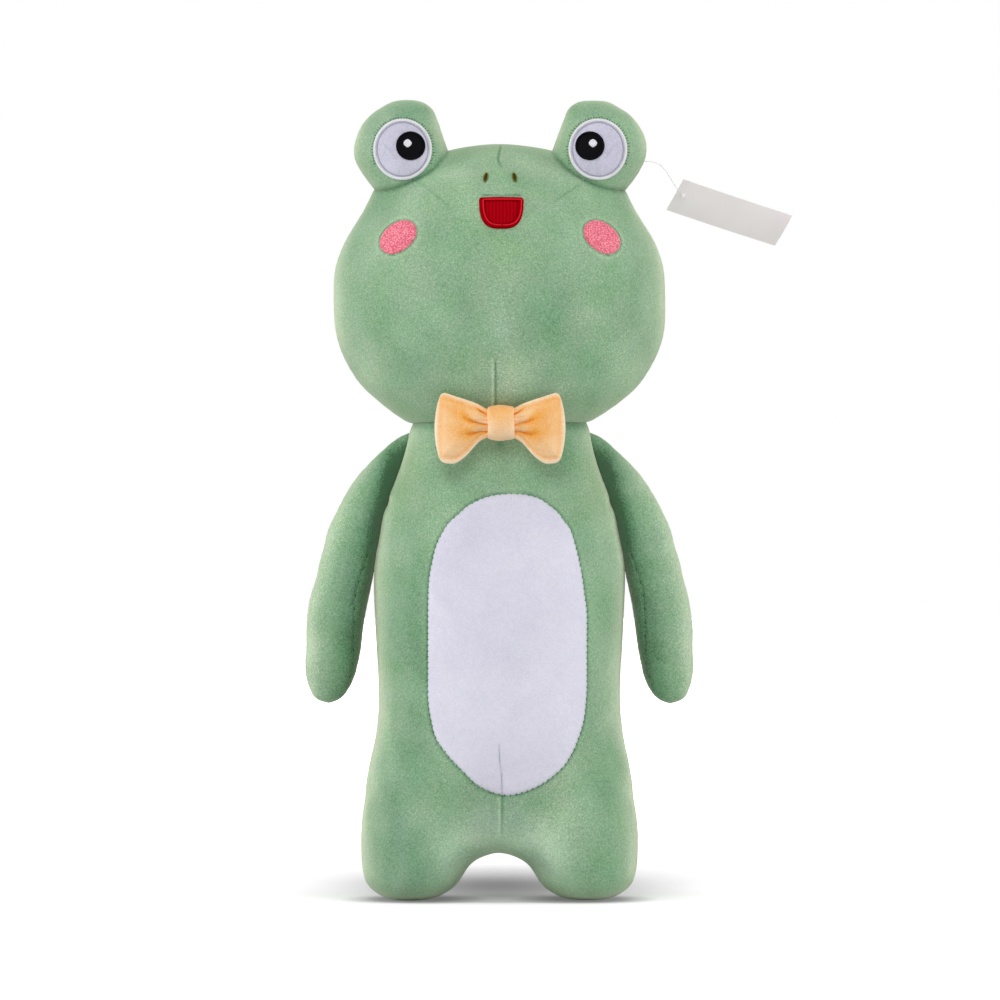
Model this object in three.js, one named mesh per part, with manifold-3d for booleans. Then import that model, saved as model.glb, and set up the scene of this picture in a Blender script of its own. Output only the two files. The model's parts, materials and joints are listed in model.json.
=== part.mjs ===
// Plush frog with a bow tie: fabric bags filled with loose fibre and sewn together, with an
// embroidered face and a hang tag. Millimetres, +Z up. The frog faces -Y and its own left is +X.
// Its soles stand on z = 0 and the side seams of every bag lie in the plane y = 0.
import * as THREE from "three";
import { mergeVertices } from "three/addons/utils/BufferGeometryUtils.js";
import Module from "manifold-3d";

const wasm = await Module();
wasm.setup();

// Fabric, thread and the room between touching pieces
const fabricThickness = 2;
const embroideryThickness = 1;
const gap = 0.3;
const solePress = 0.5;
const overrun = 15;

// Trunk and legs, one bag
const bodyHeight = 358;
const bodyHalfWidth = 103;
const bellyDepth = 74;
const backDepth = 62;
const archHeight = 35;
const neckHalfWidth = 67;
const neckHalfDepth = 52;
const neckStep = 10;
const neckGap = 0.6;
const legSpacing = 125;
const legHalfWidth = 40.5;
const legHeight = 128;
const footFrontDepth = 56;
const footBackDepth = 47;
const footRounding = 28;

// Belly panel: its half-width, and the green it leaves below it and above it
const bellyPanelHalfWidth = 59;
const bellyPanelLowMargin = 44;
const bellyPanelTopMargin = 55;
const bellyPanelOffset = 6;

// Head
const headHeight = 208.7;
const headHalfWidth = 125.3;
const headHalfDepth = 89;

// Eye pods. Drops in this part of the list are measured down from the top of the head.
const podHalfWidth = 36.9;
const podHalfHeight = 35;
const podFrontDepth = 40;
const podBackDepth = 30;
const podSpacing = 145.6;
const podDrop = 1.7;

// Face
const eyeHalfWidth = 22;
const eyeHalfHeight = 23.2;
const eyeDrop = 1.8;
const pupilRadius = 11.4;
const pupilInward = 6;
const pupilRise = 2.6;
const highlightRadius = 3.4;
const highlightOutward = 2.2;
const highlightRise = 2;
const nostrilHalfWidth = 1.9;
const nostrilHalfHeight = 3.7;
const nostrilSpacing = 21.6;
const nostrilDrop = 24.7;
const nostrilTilt = 0.22;
const mouthHalfWidth = 16.6;
const mouthDepth = 23.7;
const mouthDrop = 39.7;
const mouthBorder = 3.4;
const cheekHalfWidth = 14;
const cheekHalfHeight = 12.6;
const cheekSpacing = 153;
const cheekDrop = 69.7;
const cheekTilt = 0.6;

// Bow tie, below the neck seam and in front of the chin
const bowHalfWidth = 49;
const bowHalfHeight = 26.6;
const bowHalfDepth = 10;
const bowDrop = 4.3;
const bowStandOff = 17.15;
const bandHalfWidth = 10.9;
const bandHalfHeight = 13.2;
const bandFrontDepth = 11;
const bandSeat = 1.15;
const bandRise = 4.5;

// Arms
const armLength = 202;
const armHalfWidth = 22;
const armHalfDepth = 19;
const armReach = 59;
const shoulderDrop = 9;
const shoulderClearance = 3;

// Hang tag and its nylon filament
const tagLength = 88.7;
const tagWidth = 31;
const tagThickness = 0.6;
const tagCorner = 1;
const tagHoleRadius = 1.9;
const tagHoleInset = 6;
const filamentRadius = 0.35;
const pinHeadLength = 9;
const pinHeadWidth = 2.2;
const pinHeadThickness = 1.4;

// Mesh counts
const trunkSides = 20;
const neckSides = 24;
const podSides = 12;
const armSides = 10;
const neckSteps = 6;
const podSteps = 8;
const outlineSteps = 20;

// Loops of the outer skin, bottom to top, as shares of the bag's own sizes:
// height, half-width, front depth, back depth
const trunkShares = [
  [0.006, 0.48, 0.3, 0.3],
  [0.04, 0.81, 0.58, 0.6],
  [0.1, 0.955, 0.775, 0.8],
  [0.17, 0.962, 0.885, 0.91],
  [0.26, 0.895, 0.95, 0.965],
  [0.36, 0.872, 0.99, 1],
  [0.52, 0.888, 1, 0.995],
  [0.665, 0.917, 0.95, 0.945],
  [0.79, 0.85, 0.88, 0.89],
  [0.87, 0.762, 0.815, 0.86],
  [0.94, 0.682, 0.745, 0.845],
];
const headShares = [
  [0.018, 0.57, 0.65, 0.64],
  [0.05, 0.672, 0.725, 0.71],
  [0.11, 0.798, 0.81, 0.79],
  [0.19, 0.9, 0.89, 0.87],
  [0.28, 0.966, 0.955, 0.935],
  [0.39, 1, 0.995, 0.985],
  [0.5, 0.998, 1, 1],
  [0.62, 0.95, 0.95, 0.965],
  [0.72, 0.86, 0.85, 0.87],
  [0.8, 0.787, 0.72, 0.75],
  [0.87, 0.735, 0.555, 0.59],
  [0.93, 0.585, 0.38, 0.41],
  [0.972, 0.33, 0.23, 0.24],
];
const armShares = [
  [0.022, 0.37, 0.38, 0.995],
  [0.08, 0.71, 0.74, 0.97],
  [0.19, 0.915, 0.94, 0.937],
  [0.34, 1, 1, 0.865],
  [0.52, 0.965, 0.95, 0.74],
  [0.68, 0.91, 0.81, 0.59],
  [0.8, 0.8, 0.64, 0.425],
  [0.89, 0.635, 0.47, 0.245],
  [0.965, 0.32, 0.27, 0.085],
];
const tipReachShare = 0.985;
// Loops of one wing of the bow tie, from the middle outwards: place along it, height, thickness, rise
const wingShares = [
  [0, 0.41, 0.7, 1],
  [0.19, 0.41, 0.72, 0.9],
  [0.36, 0.59, 0.92, 0.45],
  [0.55, 0.82, 1, 0.1],
  [0.8, 1, 0.95, 0],
  [0.93, 0.95, 0.62, 0],
  [0.985, 0.74, 0.3, 0],
];
const bandShares = [
  [0.04, 0.9, 0.88],
  [0.5, 1.03, 1],
  [0.96, 0.9, 0.88],
];
// Loops of a foot: height, half-width, depth, and how far its middle lies out from the leg's
const footShares = [
  [0.02, 0.33, 0.46, 0.07],
  [0.09, 0.54, 0.7, 0.065],
  [0.25, 0.75, 0.86, 0.055],
  [0.5, 0.885, 0.96, 0.035],
  [1, 1, 1, 0],
];
const footOutwardShare = 0.07;
const thighShares = [
  [0.45, 1, 1],
  [0.64, 0.98, 0.95],
  [0.82, 0.82, 0.78],
  [0.95, 0.5, 0.46],
];
const thighInwardShare = 0.05;
const bellyPanelPower = 2.7;
const mouthPower = 2.7;
const headRingPower = 1.9;

// Colours
const frogGreen = 0x93b993;
const backGreen = 0x8db48d;
const fibreWhite = 0xf0eee8;
const patchWhite = 0xdcdae6;
const threadBlack = 0x17171b;
const nostrilOlive = 0x4a4c1b;
const mouthRed = 0x9b0213;
const borderRed = 0xc41224;
const cheekPink = 0xe98495;
const bowOrange = 0xf4b670;
const bandOrange = 0xf2bc76;
const cardGrey = 0xdcd8d8;
const nylonClear = 0xe8e8e8;

const frog = new THREE.Group();

function asSolid(vertices, triangles) {
  const mesh = new wasm.Mesh({
    numProp: 3,
    vertProperties: Float32Array.from(vertices),
    triVerts: Uint32Array.from(triangles),
  });
  return new wasm.Manifold(mesh);
}

function solidOf(geometry, place = new THREE.Matrix4()) {
  const bare = geometry.clone().applyMatrix4(place);
  bare.deleteAttribute("normal");
  bare.deleteAttribute("uv");
  const merged = mergeVertices(bare);
  return asSolid(merged.getAttribute("position").array, merged.index.array);
}

function add(name, solid, colour, roughness = 0.95) {
  const { numProp, vertProperties, triVerts } = solid.getMesh();
  const geometry = new THREE.BufferGeometry();
  geometry.setAttribute("position", new THREE.BufferAttribute(vertProperties, numProp));
  geometry.setIndex(new THREE.BufferAttribute(triVerts, 1));
  const material = new THREE.MeshStandardMaterial({ color: colour, roughness, metalness: 0 });
  const mesh = new THREE.Mesh(geometry, material);
  mesh.name = name;
  frog.add(mesh);
}

// The bag's skin moved inwards by a distance, or outwards where it is negative. Each loop moves
// along the normal of the bag's profile, and the two end points move along the bag's length.
function movedLoops(loops, inwards) {
  return loops.map((loop, i) => {
    if (i === 0) {
      return { ...loop, at: loop.at + inwards };
    }
    if (i === loops.length - 1) {
      return { ...loop, at: loop.at - inwards };
    }
    const before = loops[i - 1];
    const after = loops[i + 1];
    const run = after.at - before.at;
    const slope = (side) => (after[side] - before[side]) / run;
    const shift = (side) => inwards / Math.hypot(1, slope(side));
    const rise = (side) => slope(side) * shift(side);
    return {
      ...loop,
      at: loop.at + (rise("wide") + (rise("front") + rise("back")) / 2) / 2,
      wide: loop.wide - shift("wide"),
      front: loop.front - shift("front"),
      back: loop.back - shift("back"),
    };
  });
}

// A closed bag lofted through loops. A loop lies across local Z at "at", with its centre at
// (x, y), its half-width along X, and its depths towards -Y and +Y. The first and last are points.
// The hidden surfaces inside the skin have half as many sides.
function bag(loops, skinSides, inwards = 0, { power = 2, place = new THREE.Matrix4() } = {}) {
  const sides = inwards > 0 ? skinSides / 2 : skinSides;
  const moved = movedLoops(loops, inwards);
  const round = (value) => Math.sign(value) * Math.abs(value) ** (2 / power);
  const points = [];
  moved.forEach(({ at, x = 0, y = 0, wide, front, back }, i) => {
    if (i === 0 || i === moved.length - 1) {
      points.push(new THREE.Vector3(x, y, at));
      return;
    }
    for (let k = 0; k < sides; k += 1) {
      const angle = (2 * Math.PI * k) / sides;
      const deep = Math.sin(angle) < 0 ? front : back;
      points.push(new THREE.Vector3(x + wide * round(Math.cos(angle)), y + deep * round(Math.sin(angle)), at));
    }
  });
  const triangles = [];
  const loopCount = moved.length - 2;
  const start = (loop) => 1 + loop * sides;
  const top = points.length - 1;
  for (let k = 0; k < sides; k += 1) {
    const next = (k + 1) % sides;
    triangles.push(0, start(0) + next, start(0) + k);
    for (let loop = 0; loop < loopCount - 1; loop += 1) {
      const a = start(loop) + k;
      const b = start(loop) + next;
      const c = start(loop + 1) + next;
      const d = start(loop + 1) + k;
      triangles.push(a, b, c, a, c, d);
    }
    triangles.push(top, start(loopCount - 1) + k, start(loopCount - 1) + next);
  }
  const vertices = points.flatMap((point) => point.applyMatrix4(place).toArray());
  return asSolid(vertices, triangles);
}

function point(at, x = 0, y = 0) {
  return { at, x, y, wide: 0, front: 0, back: 0 };
}

// The space in front of the seam plane, or behind it, less half the gap between two covers
function halfSpace(side) {
  const width = 2 * (headHalfWidth + armReach + tagLength + overrun);
  const depth = headHalfDepth + overrun;
  const height = 2 * (bodyHeight + headHeight + podHalfHeight + overrun);
  const box = new THREE.BoxGeometry(width, depth, height);
  const move = new THREE.Matrix4().makeTranslation(0, side * (gap / 2 + depth / 2), 0);
  return solidOf(box, move);
}

const frontSpace = halfSpace(-1);
const backSpace = halfSpace(1);

function largest(solid) {
  return solid.decompose().reduce((best, piece) => (piece.volume() > best.volume() ? piece : best));
}

// A filled bag: two covers that meet at the seam plane, and the stuffing inside them
function addFilledBag(name, skinAt, coreAt) {
  const shell = skinAt(0).subtract(skinAt(fabricThickness));
  add(`${name}_front_cover`, largest(shell.intersect(frontSpace)), frogGreen);
  add(`${name}_back_cover`, largest(shell.intersect(backSpace)), backGreen);
  add(`${name}_stuffing`, largest(coreAt(fabricThickness + gap)), fibreWhite, 1);
}

// A flat outline in the X-Z plane, run through everything in front of the seam plane
function cutter(shape, place = new THREE.Matrix4()) {
  const depth = headHalfDepth + overrun;
  const block = new THREE.ExtrudeGeometry(shape, { depth, bevelEnabled: false, curveSegments: outlineSteps });
  const upright = new THREE.Matrix4().makeRotationX(Math.PI / 2);
  return solidOf(block, upright.premultiply(place));
}

function superOval(halfWidth, halfHeight, power, steps = outlineSteps, from = 0, to = 2 * Math.PI) {
  const round = (value) => Math.sign(value) * Math.abs(value) ** (2 / power);
  const corners = [];
  for (let i = 0; i < steps; i += 1) {
    const angle = from + ((to - from) * i) / steps;
    corners.push(new THREE.Vector2(halfWidth * round(Math.cos(angle)), halfHeight * round(Math.sin(angle))));
  }
  return corners;
}

function ovalCutter(x, z, halfWidth, halfHeight, { power = 2, tilt = 0, steps = outlineSteps } = {}) {
  const place = new THREE.Matrix4().makeTranslation(x, 0, z);
  place.multiply(new THREE.Matrix4().makeRotationY(tilt));
  return cutter(new THREE.Shape(superOval(halfWidth, halfHeight, power, steps)), place);
}

// A layer of thread that lies on a bag's front, between two heights over its skin
function layer(skinAt, outline, lift = gap, thickness = embroideryThickness) {
  return skinAt(-lift - thickness).subtract(skinAt(-lift)).intersect(outline);
}

// Trunk
const trunkLoops = [
  point(archHeight),
  ...trunkShares.map(([up, wide, front, back]) => ({
    at: archHeight + up * (bodyHeight - archHeight),
    wide: wide * bodyHalfWidth,
    front: front * bellyDepth,
    back: back * backDepth,
  })),
  { at: bodyHeight - neckStep, wide: neckHalfWidth, front: neckHalfDepth, back: neckHalfDepth },
  point(bodyHeight - neckStep + gap),
];

// The rounded neck end is round about the nodding axis, so the head turns over it freely
function neckLoops() {
  const loops = [point(-neckHalfWidth)];
  for (let i = 1; i < neckSteps; i += 1) {
    const angle = (Math.PI * i) / neckSteps;
    const radius = neckHalfDepth * Math.sin(angle);
    loops.push({ at: -neckHalfWidth * Math.cos(angle), wide: radius, front: radius, back: radius });
  }
  loops.push(point(neckHalfWidth));
  return loops;
}

function neckSolid(inwards) {
  const place = new THREE.Matrix4().makeTranslation(0, 0, bodyHeight);
  place.multiply(new THREE.Matrix4().makeRotationY(Math.PI / 2));
  return bag(neckLoops(), neckSides, inwards, { place });
}

function legLoops(side) {
  const out = (side * legSpacing) / 2;
  const foot = footShares.map(([up, wide, deep, outward]) => ({
    at: up * footRounding - solePress,
    x: out * (1 + outward),
    wide: wide * legHalfWidth,
    front: deep * footFrontDepth,
    back: deep * footBackDepth,
  }));
  const thigh = thighShares.map(([up, wide, deep]) => ({
    at: up * legHeight,
    x: out * (1 - thighInwardShare * up),
    wide: wide * legHalfWidth,
    front: deep * footFrontDepth,
    back: deep * footBackDepth,
  }));
  const sole = point(-solePress, out * (1 + footOutwardShare));
  return [sole, ...foot, ...thigh, point(legHeight, out * (1 - thighInwardShare))];
}

function bodySkin(inwards) {
  let skin = bag(trunkLoops, trunkSides, inwards);
  for (const side of [-1, 1]) {
    skin = skin.add(bag(legLoops(side), podSides, inwards));
  }
  skin = skin.add(neckSolid(inwards));
  const reach = 2 * (bodyHalfWidth + overrun);
  const floor = new THREE.BoxGeometry(reach, reach, 2 * overrun);
  const level = Math.max(inwards, 0) - overrun;
  return skin.subtract(solidOf(floor, new THREE.Matrix4().makeTranslation(0, 0, level)));
}

const bellyPanelLow = archHeight + bellyPanelLowMargin;
const bellyPanelHalfHeight = (bodyHeight - bellyPanelTopMargin - bellyPanelLow) / 2;
const bellyPanelMiddle = bellyPanelLow + bellyPanelHalfHeight;
const bellyShape = (grown) =>
  ovalCutter(bellyPanelOffset, bellyPanelMiddle, bellyPanelHalfWidth + grown, bellyPanelHalfHeight + grown, {
    power: bellyPanelPower,
    steps: 2 * outlineSteps,
  });
const bodyShell = bodySkin(0).subtract(bodySkin(fabricThickness));
const bodyFront = bodyShell.intersect(frontSpace);
add("body_front_cover", largest(bodyFront.subtract(bellyShape(gap))), frogGreen);
add("belly_panel", largest(bodyFront.intersect(bellyShape(0))), patchWhite);
add("body_back_cover", largest(bodyShell.intersect(backSpace)), backGreen);
add("body_stuffing", bodySkin(fabricThickness + gap), fibreWhite, 1);

// Head
const headTop = bodyHeight + headHeight;
const headLoops = [
  point(bodyHeight),
  ...headShares.map(([up, wide, front, back]) => ({
    at: bodyHeight + up * headHeight,
    wide: wide * headHalfWidth,
    front: front * headHalfDepth,
    back: back * headHalfDepth,
  })),
  point(headTop),
];

function headForm(inwards) {
  return bag(headLoops, trunkSides, inwards, { power: headRingPower });
}

function headSkin(inwards) {
  return headForm(inwards).subtract(neckSolid(-neckGap - inwards));
}

addFilledBag("head", headSkin, headSkin);

// Eye pods, with the eye sewn on each one's front
const podHeight = headTop - podDrop;

function podLoops(side) {
  const x = (side * podSpacing) / 2;
  const loops = [point(podHeight - podHalfHeight, x)];
  for (let i = 1; i < podSteps; i += 1) {
    const angle = (Math.PI * i) / podSteps;
    loops.push({
      at: podHeight - podHalfHeight * Math.cos(angle),
      x,
      wide: podHalfWidth * Math.sin(angle),
      front: podFrontDepth * Math.sin(angle),
      back: podBackDepth * Math.sin(angle),
    });
  }
  loops.push(point(podHeight + podHalfHeight, x));
  return loops;
}

for (const [name, side] of [["left", 1], ["right", -1]]) {
  const podForm = (inwards) => bag(podLoops(side), podSides, inwards);
  const podSkin = (inwards) => podForm(inwards).subtract(headForm(-gap - inwards));
  addFilledBag(`${name}_eye_pod`, podSkin, podSkin);

  const eye = { x: (side * podSpacing) / 2, z: podHeight - eyeDrop };
  const pupil = { x: eye.x - side * pupilInward, z: eye.z + pupilRise };
  const shine = { x: pupil.x + side * highlightOutward, z: pupil.z + highlightRise };
  const clear = headForm(-gap);
  const pupilLift = gap + embroideryThickness + gap;
  const shineLift = pupilLift + embroideryThickness + gap;
  const white = layer(podForm, ovalCutter(eye.x, eye.z, eyeHalfWidth, eyeHalfHeight));
  add(`${name}_eye_white`, largest(white.subtract(clear)), patchWhite);
  const pupilOutline = ovalCutter(pupil.x, pupil.z, pupilRadius, pupilRadius, { steps: podSides });
  add(`${name}_pupil`, largest(layer(podForm, pupilOutline, pupilLift)), threadBlack, 0.7);
  const shineOutline = ovalCutter(shine.x, shine.z, highlightRadius, highlightRadius, { steps: podSides / 2 });
  add(`${name}_eye_highlight`, largest(layer(podForm, shineOutline, shineLift)), patchWhite, 0.7);

  const nostril = { x: (side * nostrilSpacing) / 2, z: headTop - nostrilDrop };
  const slit = ovalCutter(nostril.x, nostril.z, nostrilHalfWidth, nostrilHalfHeight, {
    tilt: -side * nostrilTilt,
    steps: podSides,
  });
  add(`${name}_nostril`, largest(layer(headForm, slit)), nostrilOlive, 0.8);

  const cheek = ovalCutter((side * cheekSpacing) / 2, headTop - cheekDrop, cheekHalfWidth, cheekHalfHeight, {
    tilt: side * cheekTilt,
  });
  add(`${name}_cheek`, largest(layer(headForm, cheek)), cheekPink);
}

// Mouth: half an oval with a flat top, in a raised border
function mouthCutter(inset) {
  const wide = mouthHalfWidth - inset;
  const corners = superOval(wide, mouthDepth - 2 * inset, mouthPower, outlineSteps, Math.PI, 2 * Math.PI);
  corners.push(new THREE.Vector2(wide, 0));
  const place = new THREE.Matrix4().makeTranslation(0, 0, headTop - mouthDrop - inset);
  return cutter(new THREE.Shape(corners), place);
}

add("mouth_lining", largest(layer(headForm, mouthCutter(mouthBorder + gap))), mouthRed);
const mouthRing = mouthCutter(0).subtract(mouthCutter(mouthBorder));
add("mouth_border", largest(layer(headForm, mouthRing, gap, 2 * embroideryThickness)), borderRed);

// A size of the trunk at a height: its half-width, front depth or back depth
function trunkSizeAt(height, size) {
  const next = trunkLoops.findIndex((loop) => loop.at > height);
  const low = trunkLoops[next - 1];
  const high = trunkLoops[next];
  return low[size] + ((high[size] - low[size]) * (height - low.at)) / (high.at - low.at);
}

// Bow tie, clear of the chin and of the chest behind its lower edge.
// Its loops run along X: local Z is turned onto X, and local X onto -Z.
const bowHeight = bodyHeight - bowDrop;
const chinDepth = headLoops[1].front;
const chestDepth = trunkSizeAt(bowHeight - bowHalfHeight, "front");
const bowForward = Math.max(chinDepth, chestDepth) + bowStandOff;
const bandBackDepth = bowForward - chinDepth - bandSeat;
const alongX = new THREE.Matrix4().makeRotationY(Math.PI / 2);

function wingLoops() {
  const loopAt = (side) => ([along, high, thick, rise]) => ({
    at: side * along * bowHalfWidth,
    x: -bandRise * rise,
    wide: high * bowHalfHeight,
    front: thick * bowHalfDepth,
    back: thick * bowHalfDepth,
  });
  const right = wingShares.map(loopAt(-1)).reverse();
  const left = wingShares.slice(1).map(loopAt(1));
  return [point(-bowHalfWidth), ...right, ...left, point(bowHalfWidth)];
}

function wings(inwards) {
  const place = new THREE.Matrix4().makeTranslation(0, -bowForward, bowHeight).multiply(alongX);
  return bag(wingLoops(), podSides, inwards, { place });
}

function bandSolid() {
  const loops = bandShares.map(([along, high, deep]) => ({
    at: (2 * along - 1) * bandHalfWidth,
    wide: high * bandHalfHeight,
    front: deep * bandFrontDepth,
    back: deep * bandBackDepth,
  }));
  const place = new THREE.Matrix4().makeTranslation(0, -bowForward, bowHeight + bandRise).multiply(alongX);
  const full = [point(-bandHalfWidth), ...loops, point(bandHalfWidth)];
  return bag(full, podSides, 0, { power: 3, place });
}

add("bow_tie_wings", wings(0), bowOrange);
add("bow_tie_band", largest(bandSolid().subtract(wings(-gap)).subtract(headForm(-gap))), bandOrange);

// Arms, sewn into the side seams of the trunk from the shoulder down
const shoulderHeight = bodyHeight - shoulderDrop;
const shoulderOut = trunkSizeAt(shoulderHeight - neckStep, "wide");

function armLoops(side) {
  const top = shoulderHeight;
  const loops = armShares.map(([up, wide, deep, reach]) => ({
    at: top - armLength + up * armLength,
    x: side * (shoulderOut + reach * armReach),
    wide: wide * armHalfWidth,
    front: deep * armHalfDepth,
    back: deep * armHalfDepth,
  }));
  const tip = point(top - armLength, side * (shoulderOut + tipReachShare * armReach));
  return [tip, ...loops, point(top, side * shoulderOut)];
}

for (const [name, side] of [["left", 1], ["right", -1]]) {
  const pivot = new THREE.CylinderGeometry(shoulderClearance, shoulderClearance, 2 * armHalfDepth, podSides);
  const place = new THREE.Matrix4().makeTranslation(side * shoulderOut, 0, shoulderHeight);
  const armSkin = (inwards) => {
    const form = bag(armLoops(side), armSides, inwards);
    return form.subtract(bodySkin(-gap - inwards)).subtract(solidOf(pivot, place));
  };
  addFilledBag(`${name}_arm`, armSkin, armSkin);
}

// Hang tag. The card's own frame: its length, its width and its face, turned as it hangs.
const cardLengthways = new THREE.Vector3(80.5, 26, -26.7).normalize();
const cardWidthways = new THREE.Vector3(-12.9, 16.1, -23.2).normalize();
const cardFace = new THREE.Vector3().crossVectors(cardLengthways, cardWidthways).normalize();
cardWidthways.crossVectors(cardFace, cardLengthways);
// The filament's route, from the pod's side seam to the hole in the card
const filamentRoute = [
  new THREE.Vector3(106, 0, 554),
  new THREE.Vector3(109.9, 0, 554.3),
  new THREE.Vector3(113.5, 0, 554.2),
  new THREE.Vector3(117.2, -0.3, 553.2),
  new THREE.Vector3(121.2, -0.6, 551.2),
  new THREE.Vector3(125, -0.9, 547.2),
  new THREE.Vector3(128.4, -1, 541.6),
  new THREE.Vector3(131.4, -1.4, 536.8),
  new THREE.Vector3(134.4, -2.8, 532.4),
  new THREE.Vector3(137.2, -5.6, 528.4),
];
const routeEnd = filamentRoute.at(-1);
const hole = routeEnd.clone().addScaledVector(cardFace, tagThickness / 2);

function cardFrame(centre) {
  const frame = new THREE.Matrix4().makeBasis(cardLengthways, cardWidthways, cardFace);
  return frame.setPosition(centre);
}

function cardShape() {
  const shape = new THREE.Shape();
  const left = -tagHoleInset;
  const right = tagLength - tagHoleInset;
  const low = -tagWidth / 2;
  const high = tagWidth / 2;
  shape.moveTo(left + tagCorner, low);
  shape.lineTo(right - tagCorner, low);
  shape.absarc(right - tagCorner, low + tagCorner, tagCorner, -Math.PI / 2, 0);
  shape.lineTo(right, high - tagCorner);
  shape.absarc(right - tagCorner, high - tagCorner, tagCorner, 0, Math.PI / 2);
  shape.lineTo(left + tagCorner, high);
  shape.absarc(left + tagCorner, high - tagCorner, tagCorner, Math.PI / 2, Math.PI);
  shape.lineTo(left, low + tagCorner);
  shape.absarc(left + tagCorner, low + tagCorner, tagCorner, Math.PI, 1.5 * Math.PI);
  shape.holes.push(new THREE.Path().absarc(0, 0, tagHoleRadius, 0, 2 * Math.PI));
  return shape;
}

const card = new THREE.ExtrudeGeometry(cardShape(), {
  depth: tagThickness,
  bevelEnabled: false,
  curveSegments: 3,
});
card.translate(0, 0, -tagThickness / 2);
add("hang_tag", solidOf(card, cardFrame(hole)), cardGrey, 0.6);

const filamentSection = new THREE.Shape(superOval(filamentRadius, filamentRadius, 2, 8));
const filament = new THREE.ExtrudeGeometry(filamentSection, {
  steps: 14,
  extrudePath: new THREE.CatmullRomCurve3(filamentRoute),
});
const podSeat = bag(podLoops(1), podSides, -gap);
add("tag_filament", largest(solidOf(filament).subtract(podSeat)), nylonClear, 0.4);

const headBar = new THREE.BoxGeometry(pinHeadWidth, pinHeadLength, pinHeadThickness);
const barStep = gap + filamentRadius + pinHeadThickness / 2;
const barCentre = routeEnd.clone().addScaledVector(cardFace, -barStep);
add("tag_pin_head", solidOf(headBar, cardFrame(barCentre)), nylonClear, 0.4);

export default frog;
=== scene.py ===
# A plush frog with a bow tie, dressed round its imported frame. Metres, +Z up; the frog faces -Y.
import json
import math

import bmesh
import bpy
import numpy as np
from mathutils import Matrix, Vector
from mathutils.bvhtree import BVHTree


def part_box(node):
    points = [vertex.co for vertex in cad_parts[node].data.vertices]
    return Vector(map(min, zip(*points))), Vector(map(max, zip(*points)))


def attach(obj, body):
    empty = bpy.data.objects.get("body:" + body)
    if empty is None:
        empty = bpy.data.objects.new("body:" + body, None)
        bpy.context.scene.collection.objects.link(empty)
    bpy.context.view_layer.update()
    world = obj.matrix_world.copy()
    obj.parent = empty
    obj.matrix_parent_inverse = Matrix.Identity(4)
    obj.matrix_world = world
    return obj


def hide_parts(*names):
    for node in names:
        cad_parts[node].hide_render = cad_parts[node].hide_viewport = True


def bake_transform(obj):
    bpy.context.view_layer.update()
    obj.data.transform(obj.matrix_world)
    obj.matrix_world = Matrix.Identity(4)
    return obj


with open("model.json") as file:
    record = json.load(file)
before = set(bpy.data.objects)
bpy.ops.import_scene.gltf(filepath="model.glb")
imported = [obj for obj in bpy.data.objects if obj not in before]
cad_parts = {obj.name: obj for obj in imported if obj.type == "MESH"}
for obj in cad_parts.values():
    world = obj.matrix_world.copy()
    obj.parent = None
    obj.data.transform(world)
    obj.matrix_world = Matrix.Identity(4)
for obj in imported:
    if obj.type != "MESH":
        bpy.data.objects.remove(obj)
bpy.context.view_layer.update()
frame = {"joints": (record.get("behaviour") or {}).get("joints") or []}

MM = 0.001


# Sizes of the bags, taken from the frame

def joint_place(name):
    return next(j["pos_m"] for j in frame["joints"] if j["name"] == name)


body_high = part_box("body_back_cover")[1]
head_low, head_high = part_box("head_front_cover")
head_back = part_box("head_back_cover")[1].y
pod_low, pod_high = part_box("left_eye_pod_front_cover")
pod_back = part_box("left_eye_pod_back_cover")[1].y
arm_low, arm_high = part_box("left_arm_front_cover")

neck = joint_place("head_nod")[2]
half_body = body_high.x
belly_depth = -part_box("belly_panel")[0].y
back_depth = body_high.y
half_head = head_high.x
head_tall = head_high.z - neck
head_front = -head_low.y
shoulder = Vector(joint_place("left_arm_raise"))


# Camera and floor

CAMERA_AWAY = 5.0
FAR_CLIP = 60.0
FRAME_WIDE = 751.3 * MM
FRAME_MIDDLE = Vector((0.4 * MM, 0, 299.8 * MM))


def place_camera():
    lens = bpy.data.cameras.new("camera")
    camera = bpy.data.objects.new("camera", lens)
    camera.location = FRAME_MIDDLE - Vector((0, CAMERA_AWAY, 0))
    camera.rotation_euler = (math.radians(90), 0, 0)
    lens.angle = 2 * math.atan(FRAME_WIDE / 2 / CAMERA_AWAY)
    lens.clip_end = FAR_CLIP
    bpy.context.scene.collection.objects.link(camera)
    bpy.context.scene.camera = camera


place_camera()


def seen_at(x, z, depth):
    """Where a point lies at a depth in front of the seam plane, if the camera sees it at x, z on it."""
    nearer = 1 - depth / CAMERA_AWAY
    return (
        FRAME_MIDDLE.x + (x - FRAME_MIDDLE.x) * nearer,
        FRAME_MIDDLE.z + (z - FRAME_MIDDLE.z) * nearer,
    )


# Numbers and curves

def curve(points, count, closed=False):
    """A smooth curve through points, as count points, spaced evenly along it."""
    pts = np.array(points, float)
    if closed:
        pts = np.vstack([pts[-1], pts, pts[:2]])
    else:
        pts = np.vstack([2 * pts[0] - pts[1], pts, 2 * pts[-1] - pts[-2]])
    dense = []
    steps = 12
    for a, b, c, d in zip(pts, pts[1:], pts[2:], pts[3:]):
        for t in np.arange(steps) / steps:
            dense.append(
                b
                + 0.5 * t * ((c - a) + t * (2 * a - 5 * b + 4 * c - d + t * (3 * (b - c) + d - a)))
            )
    dense.append(pts[-2])
    dense = np.array(dense)
    along = np.concatenate([[0], np.cumsum(np.linalg.norm(np.diff(dense, axis=0), axis=1))])
    wanted = np.linspace(0, along[-1], count + 1 if closed else count)
    out = np.stack([np.interp(wanted, along, dense[:, k]) for k in range(dense.shape[1])], axis=1)
    return out[:-1] if closed else out


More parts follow.
